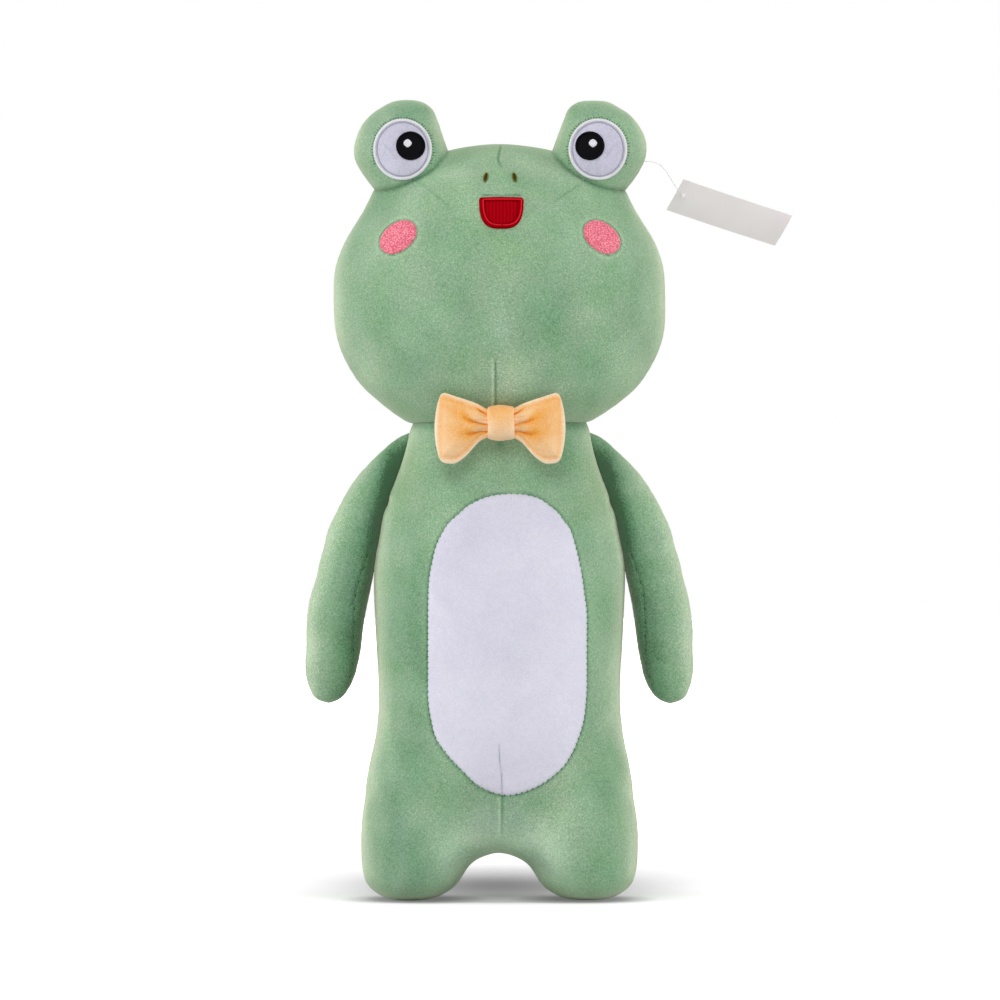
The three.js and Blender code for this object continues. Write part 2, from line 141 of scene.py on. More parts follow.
def lumps(points, size, seed, waves=24):
    """Smooth random lumps of a size, from about -1 to 1, at each point."""
    draw = np.random.default_rng(seed)
    direction = draw.normal(size=(waves, 3))
    direction /= np.linalg.norm(direction, axis=1)[:, None]
    pitch = 2 * math.pi / (size * draw.uniform(0.7, 1.5, waves))
    phase = draw.uniform(0, 2 * math.pi, waves)
    return np.cos(points @ (direction * pitch[:, None]).T + phase).sum(1) / math.sqrt(waves)


def from_path(points, path):
    """Each point's distance to a path, and how far along the path its nearest place is."""
    best = np.full(len(points), np.inf)
    along = np.zeros(len(points))
    start = 0.0
    for a, b in zip(path, path[1:]):
        step = b - a
        length = np.linalg.norm(step)
        share = np.clip((points - a) @ step / length**2, 0, 1)
        away = np.linalg.norm(points - a - share[:, None] * step, axis=1)
        nearer = away < best
        best[nearer] = away[nearer]
        along[nearer] = start + share[nearer] * length
        start += length
    return best, along


def near(away, wide):
    """1 at no distance, fading smoothly to almost nothing at twice the width."""
    return np.exp(-((away / wide) ** 2))


def rise(value, start, over):
    """0 up to start, then a straight rise to 1."""
    return np.clip((value - start) / over, 0, 1)


def fall(value, end, over):
    """A straight fall from 1, which reaches 0 at end."""
    return np.clip((end - value) / over, 0, 1)


# Meshes

def new_object(name, vertices, faces, smooth=True, outward=True):
    mesh = bpy.data.meshes.new(name)
    mesh.from_pydata([tuple(v) for v in vertices], [], faces)
    mesh.validate()
    mesh.update()
    if smooth:
        mesh.polygons.foreach_set("use_smooth", [True] * len(mesh.polygons))
    piece = bpy.data.objects.new(name, mesh)
    bpy.context.scene.collection.objects.link(piece)
    if outward:
        facing_out(piece)
    return piece


def apply_modifier(piece, kind, **settings):
    modifier = piece.modifiers.new(kind.lower(), kind)
    for key, value in settings.items():
        setattr(modifier, key, value)
    shaped = piece.evaluated_get(bpy.context.evaluated_depsgraph_get())
    mesh = bpy.data.meshes.new_from_object(shaped)
    piece.modifiers.clear()
    old = piece.data
    piece.data = mesh
    bpy.data.meshes.remove(old)
    mesh.polygons.foreach_set("use_smooth", [True] * len(mesh.polygons))


def places(piece):
    found = np.empty(len(piece.data.vertices) * 3)
    piece.data.vertices.foreach_get("co", found)
    return found.reshape(-1, 3)


def normals(piece):
    found = np.empty(len(piece.data.vertices) * 3)
    piece.data.vertices.foreach_get("normal", found)
    return found.reshape(-1, 3)


def set_places(piece, points):
    piece.data.vertices.foreach_set("co", points.ravel())
    piece.data.update()


def rounded(count, power):
    """The places round a unit oval: a circle at power 2, squarer above it."""
    turn = np.linspace(0, 2 * math.pi, count, endpoint=False)
    return [np.sign(way) * np.abs(way) ** (2 / power) for way in (np.cos(turn), np.sin(turn))]


def loft(rows, sides, power=2.0):
    """A closed bag through rows of height, middle, half-width, front depth and back depth."""
    vertices = [(rows[0][1], 0, rows[0][0])]
    round_x, round_y = rounded(sides, power)
    for height, middle, wide, front, back in rows[1:-1]:
        deep = np.where(round_y < 0, front, back)
        ring = np.stack([middle + wide * round_x, deep * round_y, np.full(sides, height)], axis=1)
        vertices.extend(ring)
    vertices.append((rows[-1][1], 0, rows[-1][0]))
    loops = len(rows) - 2
    faces = []
    top = len(vertices) - 1
    for k in range(sides):
        n = (k + 1) % sides
        faces.append((0, 1 + n, 1 + k))
        for loop in range(loops - 1):
            low = 1 + loop * sides
            high = low + sides
            faces.append((low + k, low + n, high + n, high + k))
        last = 1 + (loops - 1) * sides
        faces.append((top, last + k, last + n))
    return vertices, faces


def joined(parts):
    vertices = []
    faces = []
    for more, theirs in parts:
        start = len(vertices)
        vertices.extend(more)
        faces.extend([tuple(start + i for i in face) for face in theirs])
    return vertices, faces


def tube(path, radius, sides=8, flat=1.0, up=None, closed=False):
    """A tube along a path. radius is a number or one number for each point of the path."""
    path = np.array(path, float)
    radii = np.broadcast_to(radius, len(path))
    if closed:
        along = np.roll(path, -1, axis=0) - np.roll(path, 1, axis=0)
    else:
        along = np.gradient(path, axis=0)
    along /= np.linalg.norm(along, axis=1)[:, None]
    upward = np.broadcast_to(np.array([0, -1.0, 0]) if up is None else up, path.shape)
    across = np.cross(along, upward)
    across /= np.linalg.norm(across, axis=1)[:, None]
    lift = np.cross(across, along)
    turn = np.linspace(0, 2 * math.pi, sides, endpoint=False)
    vertices = []
    for p, a, l, r in zip(path, across, lift, radii):
        vertices.extend(p + r * (np.cos(turn)[:, None] * a + flat * np.sin(turn)[:, None] * l))
    faces = []
    count = len(path)
    for i in range(count if closed else count - 1):
        j = (i + 1) % count
        for k in range(sides):
            n = (k + 1) % sides
            faces.append((i * sides + k, i * sides + n, j * sides + n, j * sides + k))
    if not closed:
        faces.append(tuple(range(sides))[::-1])
        faces.append(tuple((count - 1) * sides + k for k in range(sides)))
    return vertices, faces


def facing_out(piece, weld=0.0):
    """Turns a piece's faces outward, after welding points that are no further apart than weld."""
    shape = bmesh.new()
    shape.from_mesh(piece.data)
    if weld:
        bmesh.ops.remove_doubles(shape, verts=shape.verts, dist=weld)
    bmesh.ops.recalc_face_normals(shape, faces=shape.faces)
    shape.to_mesh(piece.data)
    shape.free()
    piece.data.update()


# Finishes

def linear(hex_colour):
    """An sRGB hex colour, as the linear RGBA that the shaders take."""
    parts = [int(hex_colour[i : i + 2], 16) / 255 for i in (0, 2, 4)]
    return (*[c / 12.92 if c <= 0.04045 else ((c + 0.055) / 1.055) ** 2.4 for c in parts], 1)


def add(tree, kind, inputs=(), **settings):
    """Adds a node: its settings, then each input as a number, a colour or a link from another node."""
    made = tree.nodes.new(f"ShaderNode{kind}")
    for key, value in settings.items():
        setattr(made, key, value)
    for key, value in dict(inputs).items():
        if isinstance(value, bpy.types.NodeSocket):
            tree.links.new(value, made.inputs[key])
        else:
            made.inputs[key].default_value = value
    return made


def new_material(name):
    material = bpy.data.materials.new(name)
    material.use_nodes = True
    material.node_tree.nodes.clear()
    return material, material.node_tree


def finished(material, surface):
    add(material.node_tree, "OutputMaterial", {"Surface": surface.outputs[0]})
    return material


def per_metre(size):
    return 1 / size


# The plush: its pile, clumps of it, patches brushed one way, and patches where the dye is weaker
PILE = 1.15 * MM
CLUMP = 4 * MM
BRUSHED = 40 * MM
GREYED = 28 * MM
PILE_RELIEF = 0.6 * MM
CLUMP_RELIEF = 1.0 * MM
CLUMP_SHARE = 0.2
BRUSHED_SHARE = 0.24
TONE_SPAN = 0.6


def short_pile_plush(name, tones, sheen, sheen_weight, speckle, drift):
    """Knitted polyester plush, sheared to a short pile. The eye sees fine mottled tufts, soft patches
    where the pile was brushed another way, and a pale bloom where the surface turns away. The tones run
    from deep to pale along a bag's layer of the pile's lie, which also holds painted light and shade:
    painted highlights on rims and lips, painted shade in creases, at roots and where parts meet. The dye
    drifts a little in strength and in hue, and the colour is cooler and greyer where a bag's cool layer
    says so."""
    material, tree = new_material(name)
    place = add(tree, "TexCoord").outputs["Object"]
    seen = {}
    for kind, size, more in (
        ("tufts", PILE, {"Detail": 2.0, "Roughness": 0.6}),
        ("clumps", CLUMP, {"Detail": 2.0, "Roughness": 0.6}),
        ("brushed", BRUSHED, {"Detail": 1.0, "Distortion": 0.8}),
        ("dusty", GREYED, {"Detail": 2.0, "Distortion": 0.5}),
    ):
        noise = add(tree, "TexNoise", {"Vector": place, "Scale": per_metre(size), **more})
        seen[kind] = noise.outputs["Fac"]
    # A bag's layers: the pile's lie with painted light and shade, and where the colour is cooler
    nap_and_shade, cool = [add(tree, "Attribute", attribute_name=layer).outputs["Fac"] for layer in ("nap_and_shade", "cool")]
    lie = add(tree, "Math", {0: seen["tufts"], 1: speckle, 2: nap_and_shade}, operation="MULTIPLY_ADD")
    for kind, share in (("clumps", CLUMP_SHARE), ("brushed", BRUSHED_SHARE)):
        lie = add(tree, "Math", {0: seen[kind], 1: share, 2: lie.outputs[0]}, operation="MULTIPLY_ADD")
    even = 0.5 * (speckle + CLUMP_SHARE + BRUSHED_SHARE)
    tone_range = {"From Min": even - TONE_SPAN, "From Max": even + TONE_SPAN}
    shade = add(tree, "MapRange", {"Value": lie.outputs[0], **tone_range})
    colour = add(tree, "ValToRGB", {"Fac": shade.outputs["Result"]})
    stops = colour.color_ramp.elements
    for share, tone in zip((0, 0.35, 0.65, 1), tones):
        stop = stops.new(share) if 0 < share < 1 else stops[-1 if share else 0]
        stop.color = linear(tone)
    dyed = {"Color": colour.outputs["Color"]}
    for socket, kind, low, high, cooler in (
        ("Saturation", "dusty", 1.05 - drift, 1.05 + 0.6 * drift, -0.14),
        ("Hue", "brushed", 0.5 - 0.09 * drift, 0.5 + 0.07 * drift, 0.05),
    ):
        dye_range = {"From Min": 0.35, "From Max": 0.65, "To Min": low, "To Max": high}
        moved = add(tree, "MapRange", {"Value": seen[kind], **dye_range})
        both = add(tree, "Math", {0: cool, 1: cooler, 2: moved.outputs[0]}, operation="MULTIPLY_ADD")
        dyed[socket] = both.outputs[0]
    worn = add(tree, "HueSaturation", dyed)
    relief = {}
    for kind, strength, deep in (("tufts", 0.5, PILE_RELIEF), ("clumps", 0.22, CLUMP_RELIEF)):
        bump = add(tree, "Bump", {"Height": seen[kind], "Strength": strength, "Distance": deep, **relief})
        relief = {"Normal": bump.outputs["Normal"]}
    surface = add(
        tree,
        "BsdfPrincipled",
        {
            "Base Color": worn.outputs["Color"],
            "Roughness": 0.95,
            "Specular IOR Level": 0.15,
            "Sheen Weight": sheen_weight,
            "Sheen Roughness": 0.45,
            "Sheen Tint": linear(sheen),
            **relief,
        },
    )
    return finished(material, surface)


THREAD_FUZZ = 1.1 * MM
THREAD_RELIEF = 0.4 * MM
# A wave texture at scale 1 repeats after this length
WAVE_REPEAT = 0.314


def satin_thread(name, light, deep, pitch, along, roughness, sheen, gloss):
    """Rayon embroidery thread laid in satin stitch. The eye sees narrow threads side by side, each with
    a soft line of gloss, and darker gaps between them."""
    material, tree = new_material(name)
    place = add(tree, "TexCoord").outputs["Object"]
    scale = per_metre(pitch) * WAVE_REPEAT
    threads = add(
        tree,
        "TexWave",
        {"Vector": place, "Scale": scale, "Distortion": 1.2, "Detail": 2.0, "Detail Scale": 2.0},
        bands_direction=along,
    )
    scale = per_metre(THREAD_FUZZ)
    fuzz = add(tree, "TexNoise", {"Vector": place, "Scale": scale, "Detail": 3.0})
    mixed = {0: fuzz.outputs["Fac"], 1: 0.5, 2: threads.outputs["Fac"]}
    both = add(tree, "Math", mixed, operation="MULTIPLY_ADD")
    shade = add(tree, "MapRange", {"Value": both.outputs[0], "From Min": 0.1, "From Max": 1.3})
    tones = {6: linear(deep), 7: linear(light)}
    colour = add(tree, "Mix", {"Factor": shade.outputs["Result"], **tones}, data_type="RGBA")
    relief = {"Height": both.outputs[0], "Strength": 0.5, "Distance": THREAD_RELIEF}
    bump = add(tree, "Bump", relief)
    surface = add(
        tree,
        "BsdfPrincipled",
        {
            "Base Color": colour.outputs[2],
            "Roughness": roughness,
            "Specular IOR Level": gloss,
            "Sheen Weight": sheen,
            "Normal": bump.outputs["Normal"],
        },
    )
    return finished(material, surface)


CARD_FIBRE = 0.8 * MM
CARD_CLOUD = 30 * MM
CARD_RELIEF = 0.1 * MM


def tag_card_stock(name):
    """Coated carton, die cut and left bare. The eye sees a smooth pale grey face with a faint fibre."""
    material, tree = new_material(name)
    place = add(tree, "TexCoord").outputs["Object"]
    fibre, cloud = [
        add(tree, "TexNoise", {"Vector": place, "Scale": per_metre(size), "Detail": detail})
        for size, detail in ((CARD_FIBRE, 4.0), (CARD_CLOUD, 1.0))
    ]
    mixed = {0: fibre.outputs["Fac"], 1: 0.3, 2: cloud.outputs["Fac"]}
    both = add(tree, "Math", mixed, operation="MULTIPLY_ADD")
    shade = add(tree, "MapRange", {"Value": both.outputs[0], "From Min": 0.35, "From Max": 0.95})
    tones = {6: linear("f0e9e9"), 7: linear("f8f2f2")}
    colour = add(tree, "Mix", {"Factor": shade.outputs["Result"], **tones}, data_type="RGBA")
    relief = {"Height": fibre.outputs["Fac"], "Strength": 0.12, "Distance": CARD_RELIEF}
    bump = add(tree, "Bump", relief)
    surface = add(
        tree,
        "BsdfPrincipled",
        {
            "Base Color": colour.outputs[2],
            "Roughness": 0.5,
            "Specular IOR Level": 0.35,
            "Normal": bump.outputs["Normal"],
        },
    )
    return finished(material, surface)


NYLON_CLOUD = 6 * MM


def drawn_nylon(name):
    """Nylon drawn into a clear filament. The eye sees a thin, milky line with a bright gloss."""
    material, tree = new_material(name)
    place = add(tree, "TexCoord").outputs["Object"]
    scale = per_metre(NYLON_CLOUD)
    cloud = add(tree, "TexNoise", {"Vector": place, "Scale": scale, "Detail": 2.0})
    tones = {6: linear("f2eeec"), 7: linear("fdfbfa")}
    colour = add(tree, "Mix", {"Factor": cloud.outputs["Fac"], **tones}, data_type="RGBA")
    surface = add(tree, "BsdfPrincipled", {"Base Color": colour.outputs[2], "Roughness": 0.25, "IOR": 1.53})
    return finished(material, surface)


# Plush: four tones, sheen and its weight, speckle of the pile, drift of the dye
green_plush, white_plush, pink_plush, orange_plush = [
    short_pile_plush(f"{name}_short_pile_plush", tones.split(), *rest)
    for name, tones, *rest in (
        ("green", "47694e 739c7b 97b795 c8dcbc", "f2f6dc", 0.8, 1.15, 0.1),
        ("white", "a9a8ba d2d0e0 e6e4f1 f8f6fd", "ffffff", 0.2, 0.5, 0.0),
        ("pink", "b8455c dc6880 f08e9c ffc0c4", "ffe4e0", 0.2, 2.2, 0.0),
        ("orange", "e0661a f4ac5a f9ca96 fde8cc", "fff0dc", 0.5, 0.6, 0.0),
    )
]
# Threads: light and deep colour, pitch in millimetres, the way they lie, roughness, sheen and gloss
(
    white_satin, black_satin, red_satin, border_satin, ridge_highlight_satin, olive_satin, pale_olive, rim_shadow_grey,
    green_thread,
) = [
    satin_thread(name, light, deep, pitch * MM, *rest)
    for name, light, deep, pitch, *rest in (
        ("white_satin_stitch", "fdfcff", "d2d2de", 0.7, "X", 0.5, 0.1, 0.3),
        ("black_satin_stitch", "141418", "030304", 0.8, "Z", 0.8, 0.0, 0.06),
        ("red_satin_stitch", "b20012", "8c000a", 2.6, "X", 0.8, 0.0, 0.02),
        ("deep_red_satin_stitch", "a6000e", "860008", 0.8, "Z", 0.8, 0.0, 0.02),
        # A brighter red that stands for the painted highlight along the crest of the mouth's satin border
        ("painted_highlight_red_stitch", "ee2234", "d01424", 0.8, "Z", 0.7, 0.0, 0.06),
        ("olive_satin_stitch", "4c4d14", "16160a", 0.6, "Z", 0.8, 0.0, 0.05),
        ("pale_olive_satin_stitch", "85874a", "5a5c28", 0.6, "Z", 0.8, 0.0, 0.05),
        # A grey line that stands for the painted shade between an eye's rim and its white
        ("painted_shadow_grey_thread", "b8b8c6", "9a9aa8", 0.5, "X", 0.7, 0.0, 0.1),
        ("dark_green_polyester_thread", "467053", "2f5038", 0.5, "X", 0.8, 0.0, 0.05),
    )
]
card_stock = tag_card_stock("coated_tag_card")
nylon = drawn_nylon("drawn_nylon")


def dress(piece, material, slot, *nodes):
    piece.data.materials.clear()
    piece.data.materials.append(material)
    if nodes:
        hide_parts(*nodes)


# Hang tag on its filament. The route is the one in the source.

FILAMENT_THICK = 0.7 * MM
# Its places, in millimetres
filament_route = [
    (106, 0, 554), (109.9, 0, 554.3), (113.5, 0, 554.2), (117.2, -0.3, 553.2), (121.2, -0.6, 551.2),
    (125, -0.9, 547.2), (128.4, -1, 541.6), (131.4, -1.4, 536.8), (134.4, -2.8, 532.4),
    (137.2, -5.6, 528.4),
]
CARD_THICK = 0.6 * MM
CARD_BELOW_HOLE = 16.6 * MM
CARD_ABOVE_HOLE = 13.2 * MM
CARD_BEFORE_HOLE = 5.2 * MM
CARD_AFTER_HOLE = 86.0 * MM
HOLE_RADIUS = 1.4 * MM
LONG_EDGE_CURL = 0.8 * MM
FAR_END_CURL = 2.0 * MM
PIN_OFF_CARD = 1.2 * MM
PIN_REACH = 2.2 * MM
PIN_RADIUS = 1.9 * MM
PIN_FLAT = 0.35


def unit(vector):
    return np.array(vector, float) / np.linalg.norm(vector)


# The card's directions as it hangs: along it, out of its face and across it
card_long = unit((80.5, 26, -26.7))
card_face = unit(np.cross(card_long, (-12.9, 16.1, -23.2)))
card_wide = np.cross(card_face, card_long)
route_end = np.array(filament_route[-1]) * MM
hole_middle = route_end + card_face * CARD_THICK / 2


def card_edge_at(angle):
    """The card's edge, as lengthways and widthways places, in a direction from the hole."""
    along, across = math.cos(angle), math.sin(angle)
    reach = CARD_AFTER_HOLE if along > 0 else CARD_BEFORE_HOLE
    wide = CARD_BELOW_HOLE if across > 0 else CARD_ABOVE_HOLE
    far = min(reach / max(abs(along), 1e-9), wide / max(abs(across), 1e-9))
    return np.array([along * far, across * far])


def card_curl(along, across):
    """How far the card stands off its own plane: its long edges and far end curl forward."""
    sideways = LONG_EDGE_CURL * (across / CARD_ABOVE_HOLE) ** 2 * (0.35 + 0.65 * along / CARD_AFTER_HOLE)
    return sideways + FAR_END_CURL * rise(along, 0, CARD_AFTER_HOLE) ** 2


def make_card():
    corners = [
        math.atan2(across, along)
        for along in (CARD_AFTER_HOLE, -CARD_BEFORE_HOLE)
        for across in (CARD_BELOW_HOLE, -CARD_ABOVE_HOLE)
    ]
    even = np.linspace(-math.pi, math.pi, 120, endpoint=False)
    near_end = np.linspace(-0.19, 0.19, 24)
    angles = np.unique(np.round(np.concatenate([even, near_end, corners]), 5))
    count = len(angles)
    rings = 26
    sheets = []
    for lift in (CARD_THICK / 2, -CARD_THICK / 2):
        for ring in range(rings + 1):
            share = (ring / rings) ** 1.4
            for angle in angles:
                start = HOLE_RADIUS * np.array([math.cos(angle), math.sin(angle)])
                along, across = start + share * (card_edge_at(angle) - start)
                out = lift + card_curl(along, across)
                sheets.append(hole_middle + along * card_long + across * card_wide + out * card_face)
    half = (rings + 1) * count
    faces = []
    for k in range(count):
        n = (k + 1) % count
        for ring in range(rings):
            low, high = ring * count, (ring + 1) * count
            faces.append((low + k, high + k, high + n, low + n))
            faces.append((half + low + k, half + low + n, half + high + n, half + high + k))
        last = rings * count
        faces.append((k, n, half + n, half + k))
        faces.append((last + k, half + last + k, half + last + n, last + n))
    card = new_object("hang_tag_card", sheets, faces, smooth=False)
    dress(card, card_stock, "tag_card", "hang_tag")
    return card


def make_filament():
    path = curve(np.array(filament_route) * MM, 30)
    filament = new_object("tag_filament_line", *tube(path, FILAMENT_THICK / 2, sides=10))
    dress(filament, nylon, "nylon", "tag_filament")
    return filament, path


def make_pin_head():
    """The pin's head, drawn as the small round button that shows in the hole."""
    middle = route_end - card_face * PIN_OFF_CARD
    steps = np.linspace(-1, 1, 21)
    path = [middle + card_wide * PIN_REACH * step for step in steps]
    radii = [PIN_RADIUS * max(0.2, (1 - abs(step) ** 2.4) ** 0.5) for step in steps]
    pin = new_object("tag_pin_button", *tube(path, radii, sides=20, flat=PIN_FLAT, up=card_face))
    dress(pin, nylon, "nylon", "tag_pin_head")
    return pin


card = make_card()
filament, filament_path = make_filament()
pin_bar = make_pin_head()
for piece in (card, filament, pin_bar):
    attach(piece, "tag")


# Bags. Rows run upwards: height, middle, half-width, front depth and back depth, as shares.

trunk_shares = [
    (0.1, 0, 0, 0, 0), (0.1, 0, 0.4, 0.28, 0.3), (0.115, 0, 0.62, 0.45, 0.48),
    (0.14, 0, 0.83, 0.64, 0.68), (0.17, 0, 0.93, 0.75, 0.8), (0.2, 0, 0.97, 0.81, 0.86),
    (0.24, 0, 0.975, 0.855, 0.9), (0.28, 0, 0.955, 0.9, 0.935), (0.32, 0, 0.922, 0.94, 0.965),
    (0.355, 0, 0.9, 0.965, 0.985), (0.41, 0, 0.888, 0.99, 1), (0.52, 0, 0.896, 1, 1),
    (0.61, 0, 0.914, 0.99, 0.995), (0.67, 0, 0.924, 0.97, 0.975), (0.72, 0, 0.908, 0.945, 0.95),
    (0.77, 0, 0.87, 0.905, 0.92), (0.81, 0, 0.853, 0.875, 0.895), (0.84, 0, 0.822, 0.85, 0.88),
    (0.89, 0, 0.752, 0.81, 0.86), (0.94, 0, 0.695, 0.765, 0.85), (0.98, 0, 0.66, 0.715, 0.842),
    (1, 0, 0.646, 0.68, 0.83), (1.025, 0, 0.5, 0.5, 0.6), (1.037, 0, 0.25, 0.25, 0.3),
    (1.04, 0, 0, 0, 0),
]
leg_shares = [
    (0, 0.646, 0, 0, 0), (0, 0.646, 0.14, 0.27, 0.36), (0.0035, 0.647, 0.195, 0.4, 0.475),
    (0.0085, 0.643, 0.23, 0.52, 0.57), (0.017, 0.643, 0.274, 0.61, 0.63),
    (0.024, 0.64, 0.307, 0.66, 0.67), (0.036, 0.634, 0.345, 0.705, 0.71),
    (0.055, 0.628, 0.372, 0.745, 0.75), (0.068, 0.617, 0.388, 0.76, 0.765),
    (0.081, 0.598, 0.412, 0.775, 0.78), (0.091, 0.562, 0.449, 0.78, 0.785),
    (0.098, 0.526, 0.485, 0.785, 0.79), (0.14, 0.546, 0.465, 0.81, 0.82),
    (0.18, 0.575, 0.425, 0.81, 0.825), (0.22, 0.577, 0.395, 0.755, 0.775),
    (0.26, 0.55, 0.355, 0.64, 0.66), (0.3, 0.52, 0.28, 0.46, 0.48), (0.33, 0.51, 0.18, 0.26, 0.28),
    (0.345, 0.505, 0, 0, 0),
]
head_shares = [
    (0.01, 0, 0, 0, 0), (0.001, 0, 0.4, 0.45, 0.45), (-0.002, 0, 0.5, 0.57, 0.57),
    (0.003, 0, 0.545, 0.612, 0.605), (0.018, 0, 0.588, 0.655, 0.645), (0.045, 0, 0.659, 0.715, 0.7),
    (0.086, 0, 0.75, 0.78, 0.76), (0.131, 0, 0.831, 0.835, 0.81), (0.19, 0, 0.896, 0.89, 0.87),
    (0.247, 0, 0.944, 0.935, 0.915), (0.304, 0, 0.978, 0.965, 0.95), (0.362, 0, 0.995, 0.985, 0.975),
    (0.445, 0, 1, 1, 0.995), (0.535, 0, 0.992, 0.99, 0.995), (0.592, 0, 0.968, 0.965, 0.98),
    (0.65, 0, 0.927, 0.93, 0.95), (0.707, 0, 0.872, 0.875, 0.905), (0.765, 0, 0.815, 0.79, 0.83),
    (0.823, 0, 0.768, 0.675, 0.7), (0.868, 0, 0.72, 0.575, 0.6), (0.906, 0, 0.64, 0.46, 0.48),
    (0.938, 0, 0.54, 0.36, 0.38), (0.962, 0, 0.41, 0.275, 0.29), (0.986, 0, 0.25, 0.17, 0.18),
    (0.999, 0, 0.11, 0.08, 0.08), (1.004, 0, 0, 0, 0),
]
pod_shares = [
    (-2.11, -0.076, 0, 0, 0), (-2.03, -0.076, 0.35, 0.35, 0.35), (-1.87, -0.09, 0.62, 0.78, 0.7),
    (-1.675, -0.103, 0.79, 0.93, 0.85), (-1.458, -0.076, 0.92, 0.98, 0.95),
    (-1.214, -0.008, 0.983, 0.99, 0.99), (-1.003, 0.038, 0.96, 1, 1),
    (-0.818, 0.057, 0.913, 0.98, 0.98), (-0.575, 0.049, 0.83, 0.92, 0.92),
    (-0.347, 0.005, 0.7, 0.79, 0.79), (-0.23, -0.038, 0.604, 0.68, 0.68),
    (-0.136, -0.079, 0.493, 0.56, 0.56), (-0.06, -0.09, 0.366, 0.42, 0.42),
    (-0.02, -0.1, 0.24, 0.28, 0.28), (0, -0.09, 0, 0, 0),
]
# An arm's rows run down from the shoulder: drop, middle, half-width
arm_shares = [
    (-0.02, -0.11, 0), (-0.014, -0.095, 0.03), (0.003, -0.03, 0.072), (0.027, 0.03, 0.11),
    (0.058, 0.085, 0.146), (0.088, 0.142, 0.179), (0.147, 0.252, 0.219), (0.206, 0.334, 0.245),
    (0.296, 0.44, 0.269), (0.355, 0.501, 0.279), (0.415, 0.534, 0.285), (0.474, 0.581, 0.288),
    (0.536, 0.616, 0.287), (0.594, 0.656, 0.293), (0.653, 0.688, 0.292), (0.72, 0.713, 0.289),
    (0.795, 0.723, 0.275), (0.85, 0.742, 0.264), (0.899, 0.754, 0.243), (0.943, 0.764, 0.2),
    (0.982, 0.775, 0.13), (1.003, 0.77, 0),
]
ARM_DEPTH_SHARE = 0.86
VOXEL = 4 * MM


def sized(shares, height, wide, front, back, foot=0.0, side=1):
    return [
        (foot + up * height, side * middle * wide, half * wide, ahead * front, behind * back)
        for up, middle, half, ahead, behind in shares
    ]


def lofted(rows, count=110, sides=120, power=2.0):
    return loft(curve(rows, count), sides, power)


def smoothed(piece, rounds, **where):
    apply_modifier(piece, "SMOOTH", factor=0.5, iterations=rounds, **where)


def bag(name, parts):
    """A closed bag from its loft, or from several that are fused and smoothed where they meet."""
    piece = new_object(name, *joined(parts))
    if len(parts) > 1:
        apply_modifier(piece, "REMESH", mode="VOXEL", voxel_size=VOXEL)
        smoothed(piece, 10)
    return piece


def arm_rows(side):
    reach = arm_high.x - shoulder.x
    drop = shoulder.z - arm_low.z
    rows = []
    for down, middle, half in reversed(arm_shares):
        wide = half * reach
        deep = wide * ARM_DEPTH_SHARE
        rows.append((shoulder.z - down * drop, side * (shoulder.x + middle * reach), wide, deep, deep))
    return rows


def weighted(piece, name, weights):
    """A vertex group with these weights, in tenths."""
    group = piece.vertex_groups.new(name=name)
    tenths = np.round(weights, 1)
    for weight in np.unique(tenths):
        if weight > 0:
            group.add(np.flatnonzero(tenths == weight).tolist(), float(weight), "REPLACE")


PUFF_FRAMES = 20
cloth_settings = {
    "vertex_group_mass": "held",
    "use_pressure": True,
    "uniform_pressure_force": 4.0,
    "quality": 5,
    "mass": 0.3,
    "tension_stiffness": 20,
    "compression_stiffness": 20,
    "bending_stiffness": 0.6,
}


def puffed(piece, seam, cap, below, above):
    """Fills a bag: its cloth swells under pressure, and moves no further than cap. It is held beside its
    side seam, and all of it that is lower or higher than the two heights."""
    before = places(piece)
    held = np.clip(1 - np.abs(before[:, 1]) / seam, 0, 1)
    weighted(piece, "held", np.maximum(held, (before[:, 2] < below) | (before[:, 2] > above)))
    cloth = piece.modifiers.new("cloth", "CLOTH")
    for setting, value in cloth_settings.items():
        setattr(cloth.settings, setting, value)
    cloth.settings.effector_weights.gravity = 0
    cloth.collision_settings.use_collision = False
    cloth.collision_settings.use_self_collision = False
    cloth.point_cache.frame_start = 1
    cloth.point_cache.frame_end = PUFF_FRAMES
    for moment in range(1, PUFF_FRAMES + 1):
        bpy.context.scene.frame_set(moment)
    shaped = piece.evaluated_get(bpy.context.evaluated_depsgraph_get())
    after = np.array([v.co for v in shaped.data.vertices])
    piece.modifiers.clear()
    bpy.context.scene.frame_set(1)
    moved = after - before
    length = np.linalg.norm(moved, axis=1)
    limit = np.minimum(1, cap / np.maximum(length, 1e-9))
    set_places(piece, before + moved * limit[:, None])


# The layer of the pile's lie, with painted light and shade: its wide and narrow unevenness, a painted
# highlight where the surface turns sideways and painted shade beside it, painted shade on the side of an
# arm that faces the body, and painted shade close beside another bag
WIDE_LUMPS = 80 * MM
NARROW_LUMPS = 25 * MM
NARROW_SHARE = 0.6
RIM_SHADE_SHARE = 0.3
# How deep the painted shade is on an arm's side that faces the body, and how wide and deep it is beside
# another bag, down to a little below the pods
INNER_ARM_SHADE = 0.66
MEETING_WIDE = 2.4 * MM
MEETING_SHADE = 0.42
MEETING_BELOW_POD = 25 * MM


def spot(at, x, z, wide, high):
    """A soft spot, from its middle and half sizes in millimetres: 1 at its middle, 0 far off."""
    return np.exp(-(((at[:, 0] - x * MM) / (wide * MM)) ** 2 + ((at[:, 2] - z * MM) / (high * MM)) ** 2))


def set_layer(piece, name, value):
    layer = piece.data.attributes.new(name, "FLOAT", "POINT")
    layer.data.foreach_set("value", value.astype(np.float32))


